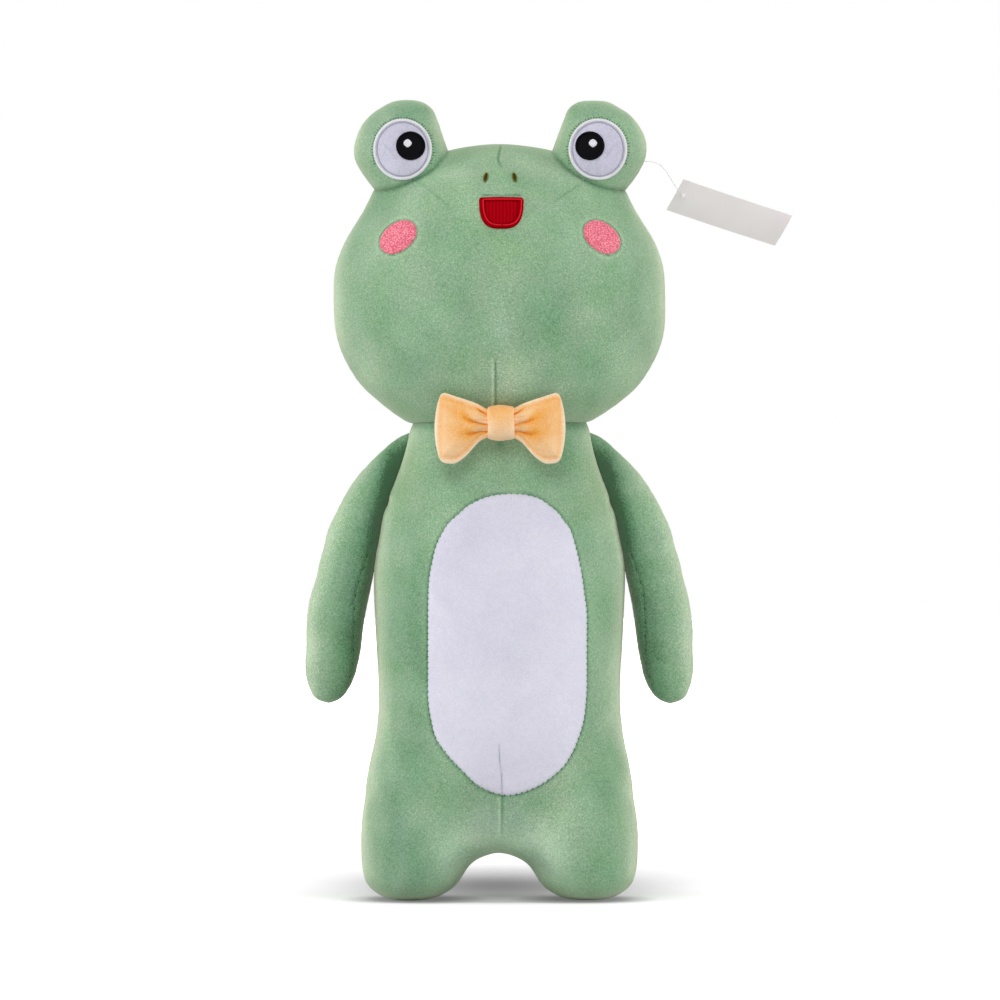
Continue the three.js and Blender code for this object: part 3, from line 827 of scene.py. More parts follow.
def nap_and_shade_of(piece, seed, base, patches=(), seams=(), rim_highlight=0.0, inner_side=0, rough=0.05, meets=()):
    """How the pile lies, with painted light and shade. Where the surface turns sideways it gets a painted
    highlight, with a band of painted shade inside it; on an arm the outer side gets the highlight and the
    side that faces the body gets painted shade. Patches are x, z, half-width and half-height in
    millimetres, and how much paler they look, partly the pile's lie and partly painted light and shade.
    Seams are a line of x, z places, a width in millimetres and how much paler it looks. Meets are the
    surfaces of bags that it is sewn to: painted shade lies beside them."""
    at = places(piece)
    out = normals(piece)
    value = base + rough * lumps(at, WIDE_LUMPS, seed)
    value += NARROW_SHARE * rough * lumps(at, NARROW_LUMPS, seed + 1)
    if inner_side:
        facing = out[:, 0] * inner_side
        # Painted highlight on the arm's outer side, painted shade on the side that faces the body
        value += rim_highlight * rise(-facing, 0.3, 0.5)
        value -= INNER_ARM_SHADE * rise(facing, -0.15, 1.0) ** 1.3
    else:
        turned = np.abs(out[:, 0])
        # Painted highlight where the surface turns sideways, and a band of painted shade inside it
        value += rim_highlight * rise(turned, 0.8, 0.17) ** 1.3
        value -= RIM_SHADE_SHARE * rim_highlight * near(turned - 0.62, 0.18)
    # Patches: partly the pile's lie, partly painted light and shade
    for *where, amount in patches:
        value += amount * spot(at, *where) * np.clip(0.5 - 1.5 * out[:, 1], 0.2, 1)
    # Seams: painted shade along a groove, or a painted highlight along the lip beside it
    for line, width, amount in seams:
        away, _ = from_path(at[:, [0, 2]], np.array(line))
        value += amount * near(away, width * MM) * (out[:, 1] < 0)
    # Painted shade beside the bags it is sewn to
    for tree in meets:
        for i in np.flatnonzero(at[:, 2] > pod_low.z - MEETING_BELOW_POD):
            _, _, _, away = tree.find_nearest(at[i], MEETING_WIDE * 2.5)
            if away is not None:
                value[i] -= MEETING_SHADE * near(away, MEETING_WIDE)
    set_layer(piece, "nap_and_shade", value)


def tint_of(piece, patches):
    """Where the colour looks cooler and greyer. Patches are x, z and half sizes in millimetres, and how
    much cooler.
    """
    at = places(piece)
    set_layer(piece, "cool", sum(amount * spot(at, *where) for *where, amount in patches))


# A seam's depth fades over this length at both ends
SEAM_RUN_OUT = 5 * MM


def groove(piece, path, depth, width, gathers=0.0, pitch=6.0, front=True):
    """Draws the cloth in along a seam on the front or back, a line of x, z places. Its depth and width, and
    the depth and pitch of its gathers, are in millimetres."""
    at = places(piece)
    away, along = from_path(at[:, [0, 2]], np.array(path, float))
    side = (at[:, 1] < 0) if front else (at[:, 1] > 0)
    run_out = np.clip(0.15 + np.minimum(along, along.max() - along) / SEAM_RUN_OUT, 0, 1)
    wide = width * MM
    inward = depth * MM * run_out * near(away, wide)
    ripple = gathers * MM * np.cos(2 * math.pi * along / (pitch * MM)) * near(away, 4 * wide)
    inward += ripple * (away < 4 * wide)
    set_places(piece, at - normals(piece) * (inward * side)[:, None])


SIDE_GATHERS = 0.08 * MM
SIDE_PITCH = 7 * MM


def side_seam(piece, depth, width, low):
    """Draws the cloth in where front and back covers are sewn together, in the plane y = 0."""
    at = places(piece)
    out = normals(piece)
    away = np.abs(at[:, 1])
    turned = np.clip(1.6 * (1 - np.abs(out[:, 1])) - 0.2, 0, 1) * (at[:, 2] > low)
    ripple = SIDE_GATHERS * np.cos(2 * math.pi * at[:, 2] / SIDE_PITCH + 3 * np.sin(at[:, 2] * 90))
    inward = depth * near(away, width) + ripple * near(away, 4 * width)
    set_places(piece, at - out * (inward * turned)[:, None])


# In millimetres: how wide the side seam holds the cloth, how far the bag puffs up, the depth and width of
# its side seam, and the size and height of its lumps
bag_finishes = {
    "trunk": (3, 3, 0.9, 1.6, 60, 0.35),
    "head": (3, 3, 0.9, 1.6, 60, 0.4),
    "pod": (2, 1.5, 0.8, 1.4, 26, 0.25),
    "arm": (2, 1.5, 0.7, 1.3, 40, 0.25),
}


def filled(piece, kind, seed, levels=1, below=-1.0, above=1.0, seam_low=-1.0, rounds=0):
    """Puffs a bag up, refines its mesh, draws its side seam in and leaves it a little uneven."""
    hold, puff, seam_deep, seam_wide, lump_size, lump_high = [size * MM for size in bag_finishes[kind]]
    puffed(piece, hold, puff, below, above)
    if rounds:
        smoothed(piece, rounds)
    apply_modifier(piece, "SUBSURF", levels=levels, render_levels=levels)
    side_seam(piece, seam_deep, seam_wide, seam_low)
    at = places(piece)
    set_places(piece, at + normals(piece) * (lump_high * lumps(at, lump_size, seed))[:, None])


def bag_nodes(name):
    return [f"{name}_front_cover", f"{name}_back_cover", f"{name}_stuffing"]


def tree_of(piece):
    mesh = piece.data
    return BVHTree.FromPolygons([v.co for v in mesh.vertices], [p.vertices[:] for p in mesh.polygons])


SEAM_POINTS = 24


def seen_line(depth, *spots):
    """A seam's x, z places, from its depth and where the camera sees it, in millimetres."""
    return curve([seen_at(x * MM, z * MM, depth * MM) for x, z in spots], SEAM_POINTS)


def seen_node(node, depth, aside=0.0, lift=0.0):
    """The middle of a node, moved aside and up, as the camera sees it at a depth, and its half sizes."""
    low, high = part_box(node)
    x, z = seen_at((low.x + high.x) / 2 + aside, (low.z + high.z) / 2 + lift, depth)
    return x, z, (high.x - low.x) / 2, (high.z - low.z) / 2


def looped(line, points=1):
    """A closed line whose first points are repeated at its end."""
    return np.vstack([line, line[:points]])


SIDES = (("left", 1), ("right", -1))


# Trunk with its two legs

# The belly panel's edge, from the top leftwards: across and up, as shares of its half sizes
belly_shares = [
    (0.05, 1.0), (-0.25, 0.98), (-0.48, 0.926), (-0.6, 0.873), (-0.717, 0.819), (-0.793, 0.766),
    (-0.895, 0.659), (-0.945, 0.552), (-0.983, 0.445), (-0.998, 0.3), (-1.0, 0.1), (-1.0, -0.15),
    (-0.998, -0.36), (-0.96, -0.5), (-0.895, -0.625), (-0.755, -0.732), (-0.565, -0.839),
    (-0.337, -0.946), (0, -1.0), (0.36, -0.946), (0.651, -0.839), (0.804, -0.732), (0.892, -0.625),
    (0.956, -0.518), (0.985, -0.411), (1.0, -0.28), (1.0, -0.05), (1.0, 0.2), (0.97, 0.338),
    (0.943, 0.445), (0.905, 0.552), (0.854, 0.659), (0.791, 0.766), (0.715, 0.819), (0.639, 0.873),
    (0.525, 0.926), (0.347, 0.98),
]


BELLY_DEEP = 66 * MM
BELLY_SEAM_WIDER = 0.4 * MM


def belly_outline(count, wider=0.0):
    x, z, wide, high = seen_node("belly_panel", BELLY_DEEP)
    points = [(x + across * (wide + wider), z + up * (high + wider)) for across, up in belly_shares]
    return curve(points, count, closed=True)


# The front's centre seam, from inside the panel down to the arch, and a painted highlight along one side of
# it
centre_seam = seen_line(60, (-0.4, 115), (0.6, 103), (1.9, 88), (2.0, 78), (1.6, 60), (1.1, 46))
LIP_ASIDE = 1.8 * MM
centre_lip = centre_seam - np.array([LIP_ASIDE, 0])
panel_edge = belly_outline(160, BELLY_SEAM_WIDER)
# Painted shade along the centre seam and round the belly panel, a painted highlight beside the centre seam
trunk_seams = [(centre_seam, 0.9, -0.3), (centre_lip, 1.0, 0.3), (panel_edge, 1.1, -0.38)]
# The seams down the back, where the bags are closed after filling
back_seam, head_back_seam = [
    curve(np.array(line) * MM, 40)
    for line in (
        [(0.5, 44), (-0.6, 120), (0.8, 220), (0, 352)],
        [(0, 362), (0.8, 420), (-0.5, 500), (0.3, 560)],
    )
]
# Depth, width, gathers and their pitch in millimetres, and whether the seam is on the front
trunk_grooves = [
    (centre_seam, 1.0, 1.0, 0.15, 8),
    (looped(panel_edge, 3), 1.2, 1.2),
    (back_seam, 1.8, 2.0, 0.15, 9, False),
]
# The hips, where the legs meet the trunk, are smoothed in front and behind
HIP_HEIGHT = 74 * MM
HIP_TALL = 32 * MM
HIP_FROM_SEAM = 20 * MM
HIP_FADE = 12 * MM
HIP_ROUNDS = 120
NECK_HELD = 12 * MM
SOLE_HELD = 3 * MM
# A small dent beside each arm
DENT_OUT = 87 * MM
DENT_HEIGHT = 298 * MM
DENT_WIDE = 5 * MM
DENT_DEEP = 1.8 * MM


def make_body():
    parts = [lofted(sized(trunk_shares, neck, half_body, belly_depth, back_depth))]
    for side in (-1, 1):
        legs = sized(leg_shares, neck, half_body, belly_depth, back_depth, side=side)
        parts.append(lofted(legs, count=70, sides=72))
    piece = bag("body_bag", parts)
    at = places(piece)
    hips = near(at[:, 2] - HIP_HEIGHT, HIP_TALL) * rise(np.abs(at[:, 1]), HIP_FROM_SEAM, HIP_FADE)
    weighted(piece, "soft", hips)
    smoothed(piece, HIP_ROUNDS, vertex_group="soft")
    filled(piece, "trunk", 11, below=SOLE_HELD, above=neck - NECK_HELD)
    for line in trunk_grooves:
        groove(piece, *line)
    at = places(piece)
    for side in (-1, 1):
        away = np.hypot(at[:, 0] - side * DENT_OUT, at[:, 2] - DENT_HEIGHT)
        at[:, 0] -= side * DENT_DEEP * near(away, DENT_WIDE)
    at[:, 2] = np.maximum(at[:, 2], 0)
    set_places(piece, at)
    return piece


body_bag = make_body()


# Head

top_dart = seen_line(25, (1, 566.5), (-0.2, 560), (-1.1, 555.2), (0.4, 551.5), (1.7, 548.7))
right_dart = seen_line(50, (-62, 539.5), (-50, 530.5), (-36.5, 518))
left_dart = seen_line(50, (62, 538), (52, 531), (41, 523.5))
chin_dart = seen_line(70, (-3.2, 404.5), (-3.1, 395), (-3.0, 383), (-3.1, 362))
CHIN_LIP_ASIDE = 1.7 * MM
chin_lip = chin_dart - np.array([CHIN_LIP_ASIDE, 0])
lip_crease = seen_line(60, (-12.5, 528.7), (1, 528.2), (15.5, 528.6))
# Painted shade along the darts and the crease over the mouth, a painted highlight on the chin's lip
head_seams = [
    (top_dart, 0.8, -0.3), (right_dart, 0.8, -0.16), (left_dart, 0.8, -0.16), (chin_dart, 0.7, -0.35),
    (chin_lip, 1.0, 0.3), (lip_crease, 0.7, -0.6),
]
head_grooves = [
    (top_dart, 1.1, 0.8), (right_dart, 0.6, 0.9), (left_dart, 0.6, 0.9), (chin_dart, 1.2, 0.8, 0.2, 9),
    (chin_lip, -0.5, 1.1), (lip_crease, 0.6, 0.8), (head_back_seam, 1.3, 1.1, 0.12, 8, False),
]
CHIN_HELD = 4 * MM
CHIN_SEAMLESS = 3 * MM


def make_head():
    rows = sized(head_shares, head_tall, half_head, head_front, head_back, neck)
    piece = bag("head_bag", [lofted(rows, count=68, sides=168, power=1.95)])
    filled(piece, "head", 21, levels=2, below=neck + CHIN_HELD, seam_low=neck + CHIN_SEAMLESS)
    for line in head_grooves:
        groove(piece, *line)
    return piece


head_bag = make_head()


# Eye pods

pod_middle = (pod_low.x + pod_high.x) / 2
pod_half = (pod_high.x - pod_low.x) / 2
pod_front = -pod_low.y
POD_SEWN_DOWN = 35 * MM
# The toy's left eye sits a little further out than its right one
EYE_SHIFT = {1: 1.2 * MM, -1: 0.0}


def pod_rows(side):
    middle = pod_middle + EYE_SHIFT[side]
    return [
        (
            pod_high.z + up * pod_half,
            side * (middle + out * pod_half),
            half * pod_half,
            ahead * pod_front,
            behind * pod_back,
        )
        for up, out, half, ahead, behind in pod_shares
    ]


def make_pod(name, side):
    piece = bag(f"{name}_eye_pod_bag", [lofted(pod_rows(side), count=48, sides=72)])
    filled(piece, "pod", 31 + side, below=head_high.z - POD_SEWN_DOWN, rounds=3)
    return piece


pods = {name: make_pod(name, side) for name, side in SIDES}


# Arms

# The seam down the inner front of the right arm; the left one mirrors it
right_arm_seam = seen_line(
    12, (-96, 268.6), (-102.6, 248), (-107.8, 230.7), (-109.3, 209.6), (-109.6, 188.6), (-110.8, 173.6),
    (-115.3, 158.5),
)
arm_seams = {name: right_arm_seam * (-side, 1) for name, side in SIDES}


def make_arm(name, side):
    piece = bag(f"{name}_arm_bag", [lofted(arm_rows(side), count=80, sides=56)])
    filled(piece, "arm", 41 + side)
    groove(piece, arm_seams[name], 0.35, 0.9, 0.1, 6)
    return piece


arms = {name: make_arm(name, side) for name, side in SIDES}


def make_arm_stitches(name):
    stitches = seam_stitches(f"{name}_arm_stitches", tree_of(arms[name]), arm_seams[name])
    dress(stitches, green_thread, "plush_green")
    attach(stitches, f"{name}_arm")


# Pieces sewn on the front of a bag

FAR_IN_FRONT = -1.0
CLOSE_IN_FRONT = -0.1
BACKWARD = Vector((0, 1, 0))


def on_front(tree, x, z):
    """The place on a bag's front that lies straight behind x, z, and the way its cloth faces there."""
    hit, facing, _, _ = tree.ray_cast(Vector((x, FAR_IN_FRONT, z)), BACKWARD)
    if hit is None:
        hit, facing, _, _ = tree.find_nearest(Vector((x, CLOSE_IN_FRONT, z)))
    if facing.y > 0:
        facing = -facing
    return np.array(hit), np.array(facing)


def oval(x, z, wide, high, count=72, tilt=0.0, power=2.0):
    across, up = rounded(count, power)
    across = wide * across
    up = high * up
    return np.stack(
        [
            x + across * math.cos(tilt) - up * math.sin(tilt),
            z + across * math.sin(tilt) + up * math.cos(tilt),
        ],
        axis=1,
    )


PATCH_SINK = 0.8 * MM
# Patches: thickness and dome in millimetres, the rings of the mesh, and the share that the edge takes
patch_sizes = {
    "eye_white_cloth": (0.8, 0.6, 30, 0.12),
    "pupil_thread": (0.6, 0.0, 14, 0.12),
    "highlight_thread": (0.9, 0.0, 8, 0.3),
    "nostril_thread": (0.5, 0.0, 6, 0.12),
    "cheek_cloth": (0.9, 0.5, 14, 0.12),
    "mouth_fill": (0.8, 0.3, 14, 0.12),
    "belly_cloth": (1.2, 1.0, 44, 0.05),
}
# Satin-stitched edges in millimetres: half-width, height, lift off the bag, and the pitch of the threads
ridge_sizes = {
    # A thin grey ring of painted shade just inside the eye's rim
    "eye_rim_shadow": (0.32, 0.32, 0.95, 0.9),
    "eye_rim": (1.3, 1.1, 0.7, 0.9),
    "pupil_rim": (1.1, 0.9, 0.6, 0.9),
    "nostril_rim": (0.45, 0.4, 0.4, 0.7),
    "mouth_edge": (1.9, 1.5, 0.5, 0.9),
    # A painted highlight: a bright ring along the crest of the mouth's border
    "mouth_ridge": (0.55, 0.6, 1.7, 0.9),
}
RIB_SHARE = 0.07


def patch(kind, tree, outline, middle, owner=""):
    """A patch of cloth or thread on a bag: it rises at its edge, and by its dome more at its middle."""
    thick, dome, rings, edge = patch_sizes[kind]
    middle = np.array(middle)
    count = len(outline)
    front = []
    back = []
    for ring in range(rings + 1):
        share = (ring / rings) ** 0.8
        raised = thick * MM * min(1, (1 - share) / edge) ** 0.5 + dome * MM * (1 - share**2)
        points = [middle] if ring == 0 else middle + share * (outline - middle)
        for x, z in points:
            place, facing = on_front(tree, x, z)
            front.append(place + facing * raised)
            back.append(place - facing * PATCH_SINK)
    total = len(front)
    faces = []
    for k in range(count):
        n = (k + 1) % count
        faces.append((0, 1 + k, 1 + n))
        faces.append((total, total + 1 + n, total + 1 + k))
        for ring in range(rings - 1):
            low = 1 + ring * count
            high = low + count
            faces.append((low + k, high + k, high + n, low + n))
            faces.append((total + low + k, total + low + n, total + high + n, total + high + k))
        last = 1 + (rings - 1) * count
        faces.append((last + k, total + last + k, total + last + n, last + n))
    return new_object(owner + kind, front + back, faces)


def stitched_ring(kind, tree, outline, owner=""):
    """A satin-stitched edge: a low rounded ridge with a rib for each thread."""
    half_width, height, lift, thread = [size * MM for size in ridge_sizes[kind]]
    length = np.linalg.norm(np.roll(outline, -1, axis=0) - outline, axis=1).sum()
    ribs = max(12, round(length / thread))
    dense = curve(outline, ribs * 4, closed=True)
    seat = [on_front(tree, x, z) for x, z in dense]
    path = np.array([place + facing * lift for place, facing in seat])
    upward = np.array([facing for _, facing in seat])
    radii = half_width * (1 + RIB_SHARE * np.cos(2 * math.pi * np.arange(len(dense)) / 4))
    ridge = tube(path, radii, sides=10, flat=height / half_width, up=upward, closed=True)
    return new_object(owner + kind, *ridge)


def short_stitches(name, lines, radius, lift):
    """Single stitches: each line is four places and the way the cloth faces there. Their ends sink in."""
    parts = []
    for line in lines:
        path = [place + facing * lift * up for (place, facing), up in zip(line, (-1, 1, 1, -1))]
        parts.append(tube(path, radius, sides=6))
    return new_object(name, *joined(parts))


# Stitches: where their four places lie along their length
STITCH_STEPS = (0, 0.33, 0.67, 1)
GATHER_OFF_EYE = 0.1 * MM
GATHER_LENGTHS = (1.0 * MM, 2.4 * MM)
GATHER_RADIUS = 0.22 * MM
GATHER_LIFT = 0.3 * MM
SEAM_STITCH_PITCH = 9 * MM
SEAM_STITCH_LONG = 2.4 * MM
SEAM_STITCH_RADIUS = 0.34 * MM
SEAM_STITCH_LIFT = 0.2 * MM


def radial_stitches(name, tree, middle, half_sizes, count):
    """The small gathers in the plush round the upper edge of an eye."""
    draw = np.random.default_rng(count)
    lines = []
    for turn in np.linspace(math.radians(-25), math.radians(205), count):
        way = np.array([math.cos(turn), math.sin(turn)])
        start = np.array(middle) + way * half_sizes + way * GATHER_OFF_EYE
        long = draw.uniform(*GATHER_LENGTHS)
        lines.append([on_front(tree, *(start + way * long * step)) for step in STITCH_STEPS])
    return short_stitches(name, lines, GATHER_RADIUS, GATHER_LIFT)


def seam_stitches(name, tree, line):
    """Running stitches that show along a seam."""
    length = np.linalg.norm(np.diff(line, axis=0), axis=1).sum()
    spots = curve(line, round(length / SEAM_STITCH_PITCH))
    lines = []
    for a, b in zip(spots, spots[1:]):
        way = (b - a) / np.linalg.norm(b - a)
        lines.append([on_front(tree, *(a + way * SEAM_STITCH_LONG * step)) for step in STITCH_STEPS])
    return short_stitches(name, lines, SEAM_STITCH_RADIUS, SEAM_STITCH_LIFT)


head_tree = tree_of(head_bag)
body_tree = tree_of(body_bag)

# How far in front of the seam plane the camera sees each piece
WHITE_DEEP = 36 * MM
PUPIL_DEEP = 38 * MM
SHINE_DEEP = 39 * MM
NOSTRIL_DEEP = 50 * MM
CHEEK_DEEP = 55 * MM
MOUTH_DEEP = 60 * MM
# How far each outline lies inside its node's edge
WHITE_INSET = 1.8 * MM
WHITE_RIM_INSET = 1.7 * MM
WHITE_LINE_INSET = 3.6 * MM
PUPIL_INSET = 1.6 * MM
PUPIL_RIM_INSET = 1.7 * MM
SHINE_INSET = 0.3 * MM
GATHERS = 46


def make_eye(name, side):
    tree = tree_of(pods[name])
    owner = f"{name}_"
    shift = EYE_SHIFT[side]
    x, z, wide, high = seen_node(f"{name}_eye_white", WHITE_DEEP, shift)

    def inside(inset, count=72):
        return oval(x, z, wide - inset, high - inset, count)

    white = patch("eye_white_cloth", tree, inside(WHITE_INSET, 120), (x, z), owner)
    crease = np.array([(x + side * out * MM, z + up * MM) for out, up in ((15, 4.5), (11, 1.5), (5, -7))])
    groove(white, crease, 0.2, 0.7)
    # Painted shade along the crease in the eye's white
    nap_and_shade_of(white, 6, -0.26, seams=[(crease, 0.7, -0.12)], rough=0.02)
    # A thin grey ring inside the rim: painted shade in the gap between the rim and the white
    line = stitched_ring("eye_rim_shadow", tree, inside(WHITE_LINE_INSET), owner)
    gathers = radial_stitches(f"{name}_eye_gathers", tree, (x, z), (wide, high), GATHERS)
    rim = stitched_ring("eye_rim", tree, inside(WHITE_RIM_INSET), owner)
    white_tree = tree_of(white)
    px, pz, radius, _ = seen_node(f"{name}_pupil", PUPIL_DEEP, shift)
    disc, ring = [
        oval(px, pz, radius - inset, radius - inset, 48) for inset in (PUPIL_INSET, PUPIL_RIM_INSET)
    ]
    pupil = patch("pupil_thread", white_tree, disc, (px, pz), owner)
    pupil_rim = stitched_ring("pupil_rim", white_tree, ring, owner)
    hx, hz, half, _ = seen_node(f"{name}_eye_highlight", SHINE_DEEP, shift)
    half -= SHINE_INSET
    glint = oval(hx, hz, half, half, 24, power=1.6)
    shine = patch("highlight_thread", tree_of(pupil), glint, (hx, hz), owner)
    dress(white, white_plush, "plush_white", f"{name}_eye_white")
    dress(rim, white_satin, "thread_white")
    dress(line, rim_shadow_grey, "thread_white")
    dress(gathers, green_thread, "plush_green")
    dress(pupil, black_satin, "thread_black", f"{name}_pupil")
    dress(pupil_rim, black_satin, "thread_black")
    dress(shine, white_satin, "thread_white", f"{name}_eye_highlight")
    return [white, rim, line, gathers, pupil, pupil_rim, shine]


NOSTRIL_ASIDE = 0.7 * MM
NOSTRIL_WIDE = 1.7 * MM
NOSTRIL_HIGH = 3.7 * MM
NOSTRIL_RIM_INSET = 0.2 * MM
NOSTRIL_TILT = 0.22


def make_nostril(name, side):
    x, z, _, _ = seen_node(f"{name}_nostril", NOSTRIL_DEEP, NOSTRIL_ASIDE)
    slit, edge = [
        oval(x - inset, z, NOSTRIL_WIDE - inset, NOSTRIL_HIGH - inset, 32, side * NOSTRIL_TILT)
        for inset in (0, NOSTRIL_RIM_INSET)
    ]
    piece = patch("nostril_thread", head_tree, slit, (x, z), f"{name}_")
    rim = stitched_ring("nostril_rim", head_tree, edge, f"{name}_")
    dress(piece, olive_satin, "thread_olive", f"{name}_nostril")
    dress(rim, pale_olive, "thread_olive")
    return [piece, rim]


CHEEK_ASIDE = 0.4 * MM
CHEEK_DROP = 0.3 * MM
CHEEK_RISE = 0.4 * MM
CHEEK_LONG = 15.2 * MM
CHEEK_SHORT = 10.7 * MM
CHEEK_TILT = 0.65


def cheek_outline(name, side, wider=0.0):
    x, z, _, _ = seen_node(f"{name}_cheek", CHEEK_DEEP, CHEEK_ASIDE, -CHEEK_DROP)
    long, short = CHEEK_LONG + wider, CHEEK_SHORT + wider
    return x, z, oval(x, z + CHEEK_RISE, long, short, tilt=-side * CHEEK_TILT, power=2.1)


def make_cheek(name, side):
    x, z, outline = cheek_outline(name, side)
    piece = patch("cheek_cloth", head_tree, outline, (x, z), f"{name}_")
    nap_and_shade_of(piece, 6, 0.06, rough=0.02)
    dress(piece, pink_plush, "plush_pink", f"{name}_cheek")
    return [piece]


LIP_CROWN = 0.3 * MM


def mouth_outline(x, top, wide, deep, count=80):
    """A half oval under a flat top edge, with rounded corners."""
    low = []
    for turn in np.linspace(math.pi, 2 * math.pi, count):
        across, down = math.cos(turn), abs(math.sin(turn))
        low.append((x + wide * np.sign(across) * abs(across) ** 0.62, top - deep * down**0.72))
    edge = [(x + wide * s, top + LIP_CROWN * (1 - s * s)) for s in np.linspace(0.96, -0.96, 24)]
    return np.array(low + edge)


MOUTH_ASIDE = 1.4 * MM
MOUTH_DROP = 0.4 * MM
MOUTH_NARROWER = 0.3 * MM
# The mouth's outlines in millimetres: how far aside, how far down, and how much narrower and less deep
mouth_insets = {"fill": (0, 2.72, 3.06, 5.78), "edge": (0, 1.7, 1.7, 3.4), "ridge": (0.7, 2.5, 2.3, 4.6)}
NOTCH_ASIDE = 0.6 * MM
NOTCH_HEIGHTS = (1.0 * MM, 2.0 * MM, 3.2 * MM)
NOTCH_RADIUS = 0.45 * MM
NOTCH_LIFT = 2.2 * MM


def make_mouth():
    low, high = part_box("mouth_border")
    x, top = seen_at((low.x + high.x) / 2 + MOUTH_ASIDE, high.z - MOUTH_DROP, MOUTH_DEEP)
    deep = high.z - low.z
    wide = (high.x - low.x) / 2 - MOUTH_NARROWER
    outlines = {}
    for kind, inset in mouth_insets.items():
        aside, down, narrower, shallower = [size * MM for size in inset]
        outlines[kind] = mouth_outline(x + aside, top - down, wide - narrower, deep - shallower)
    fill = patch("mouth_fill", head_tree, outlines["fill"], (x, top - deep * 0.45))
    edge, ridge = [
        stitched_ring(f"mouth_{kind}", head_tree, curve(outlines[kind], 90, closed=True))
        for kind in ("edge", "ridge")
    ]
    foot = [on_front(head_tree, x + NOTCH_ASIDE, top - deep + up) for up in NOTCH_HEIGHTS]
    path = [place + facing * NOTCH_LIFT for place, facing in foot]
    notch = new_object("mouth_notch", *tube(path, NOTCH_RADIUS))
    dress(notch, border_satin, "thread_red")
    dress(fill, red_satin, "thread_red", "mouth_lining")
    dress(edge, border_satin, "thread_red", "mouth_border")
    # The ridge carries a painted highlight along the border's crest
    dress(ridge, ridge_highlight_satin, "thread_bright_red")
    return [fill, edge, ridge, notch]


face = make_mouth()
for name, side in SIDES:
    make_arm_stitches(name)
    face += make_eye(name, side) + make_nostril(name, side) + make_cheek(name, side)


# Belly panel and the stitches round it

BELLY_STITCHES = 132
# The panel's edge is drawn in under a stitch and stands out between two
BELLY_DRAWN_IN = 0.2 * MM
BELLY_LET_OUT = 0.1 * MM
# A stitch's four places, in millimetres out from the panel's edge
BELLY_STITCH_STEPS = (-0.7, -0.1, 0.6, 1.3)
BELLY_STITCH_RADIUS = 0.21 * MM
BELLY_STITCH_LIFT = 0.17 * MM
# The stitches are shorter above this height
BELLY_TOP = 270 * MM
SHORT_STITCH_SHARE = 0.55


def make_belly():
    outline = belly_outline(BELLY_STITCHES * 4)
    middle = outline.mean(axis=0)
    drawn_in = np.tile([BELLY_DRAWN_IN, 0, -BELLY_LET_OUT, 0], BELLY_STITCHES)
    inward = middle - outline
    inward /= np.linalg.norm(inward, axis=1)[:, None]
    outline = outline + inward * drawn_in[:, None]
    cloth = patch("belly_cloth", body_tree, outline, middle)
    dress(cloth, white_plush, "plush_white", "belly_panel")
    cloth_tree = tree_of(cloth)

    def front_most(x, z):
        place, facing = on_front(body_tree, x, z)
        hit, _, _, _ = cloth_tree.ray_cast(Vector((x, FAR_IN_FRONT, z)), BACKWARD)
        if hit is not None and hit.y < place[1]:
            place = np.array(hit)
        return place, facing

    lines = []
    for start, way in zip(outline[::4], -inward[::4]):
        reach = SHORT_STITCH_SHARE if start[1] > BELLY_TOP else 1.0
        lines.append([front_most(*(start + way * reach * step * MM)) for step in BELLY_STITCH_STEPS])
    stitches = short_stitches("belly_stitches", lines, BELLY_STITCH_RADIUS, BELLY_STITCH_LIFT)
    dress(stitches, green_thread, "plush_green")
    return [cloth, stitches]


belly = make_belly()


# Bow tie

wing_low, wing_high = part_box("bow_tie_wings")
band_low, band_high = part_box("bow_tie_band")
bow_half = (wing_high.x - wing_low.x) / 2
bow_tall = (wing_high.z - wing_low.z) / 2 * 0.985
bow_height = (wing_high.z + wing_low.z) / 2
bow_depth = -(wing_low.y + wing_high.y) / 2

# From the band outwards: x, top and bottom, as shares of the bow's half-width and half-height
wing_shares = [
    (0.17, 0.53, -0.25), (0.26, 0.61, -0.32), (0.35, 0.7, -0.446), (0.517, 0.81, -0.79),
    (0.66, 0.895, -0.98), (0.76, 0.958, -1), (0.845, 1, -0.98), (0.897, 0.94, -0.91), (0.93, 0.8, -0.8),
]
WING_BULGE = 0.06
WING_END = 0.93
BOW_ASIDE = 0.4 * MM
bow_middle = np.array(seen_at(BOW_ASIDE, bow_height, bow_depth))


WING_COLUMNS = 72
WING_ROWS = 96


def wing_surface(side):
    """Places over a wing: its share along and across, x and z, and how far it is from the wing's edge."""
    columns, rows = WING_COLUMNS, WING_ROWS
    edges = curve(wing_shares, columns)
    points = []
    for i, (out, top, low) in enumerate(edges):
        u = i / (columns - 1)
        for j in range(rows):
            v = -math.cos(math.pi * j / (rows - 1))
            z = ((top + low) / 2 + (top - low) / 2 * v) * bow_tall
            x = (out + WING_BULGE * u**3 * (1 - v**2)) * bow_half
            to_side = (1 - abs(v)) * (top - low) / 2 * bow_tall
            to_end = (WING_END - out + WING_BULGE * (1 - u**3)) * bow_half
            away = min(to_side, to_end) if i < columns - 1 else 0.0
            points.append((u, v, side * x, z, max(away, 0)))
    return np.array(points)


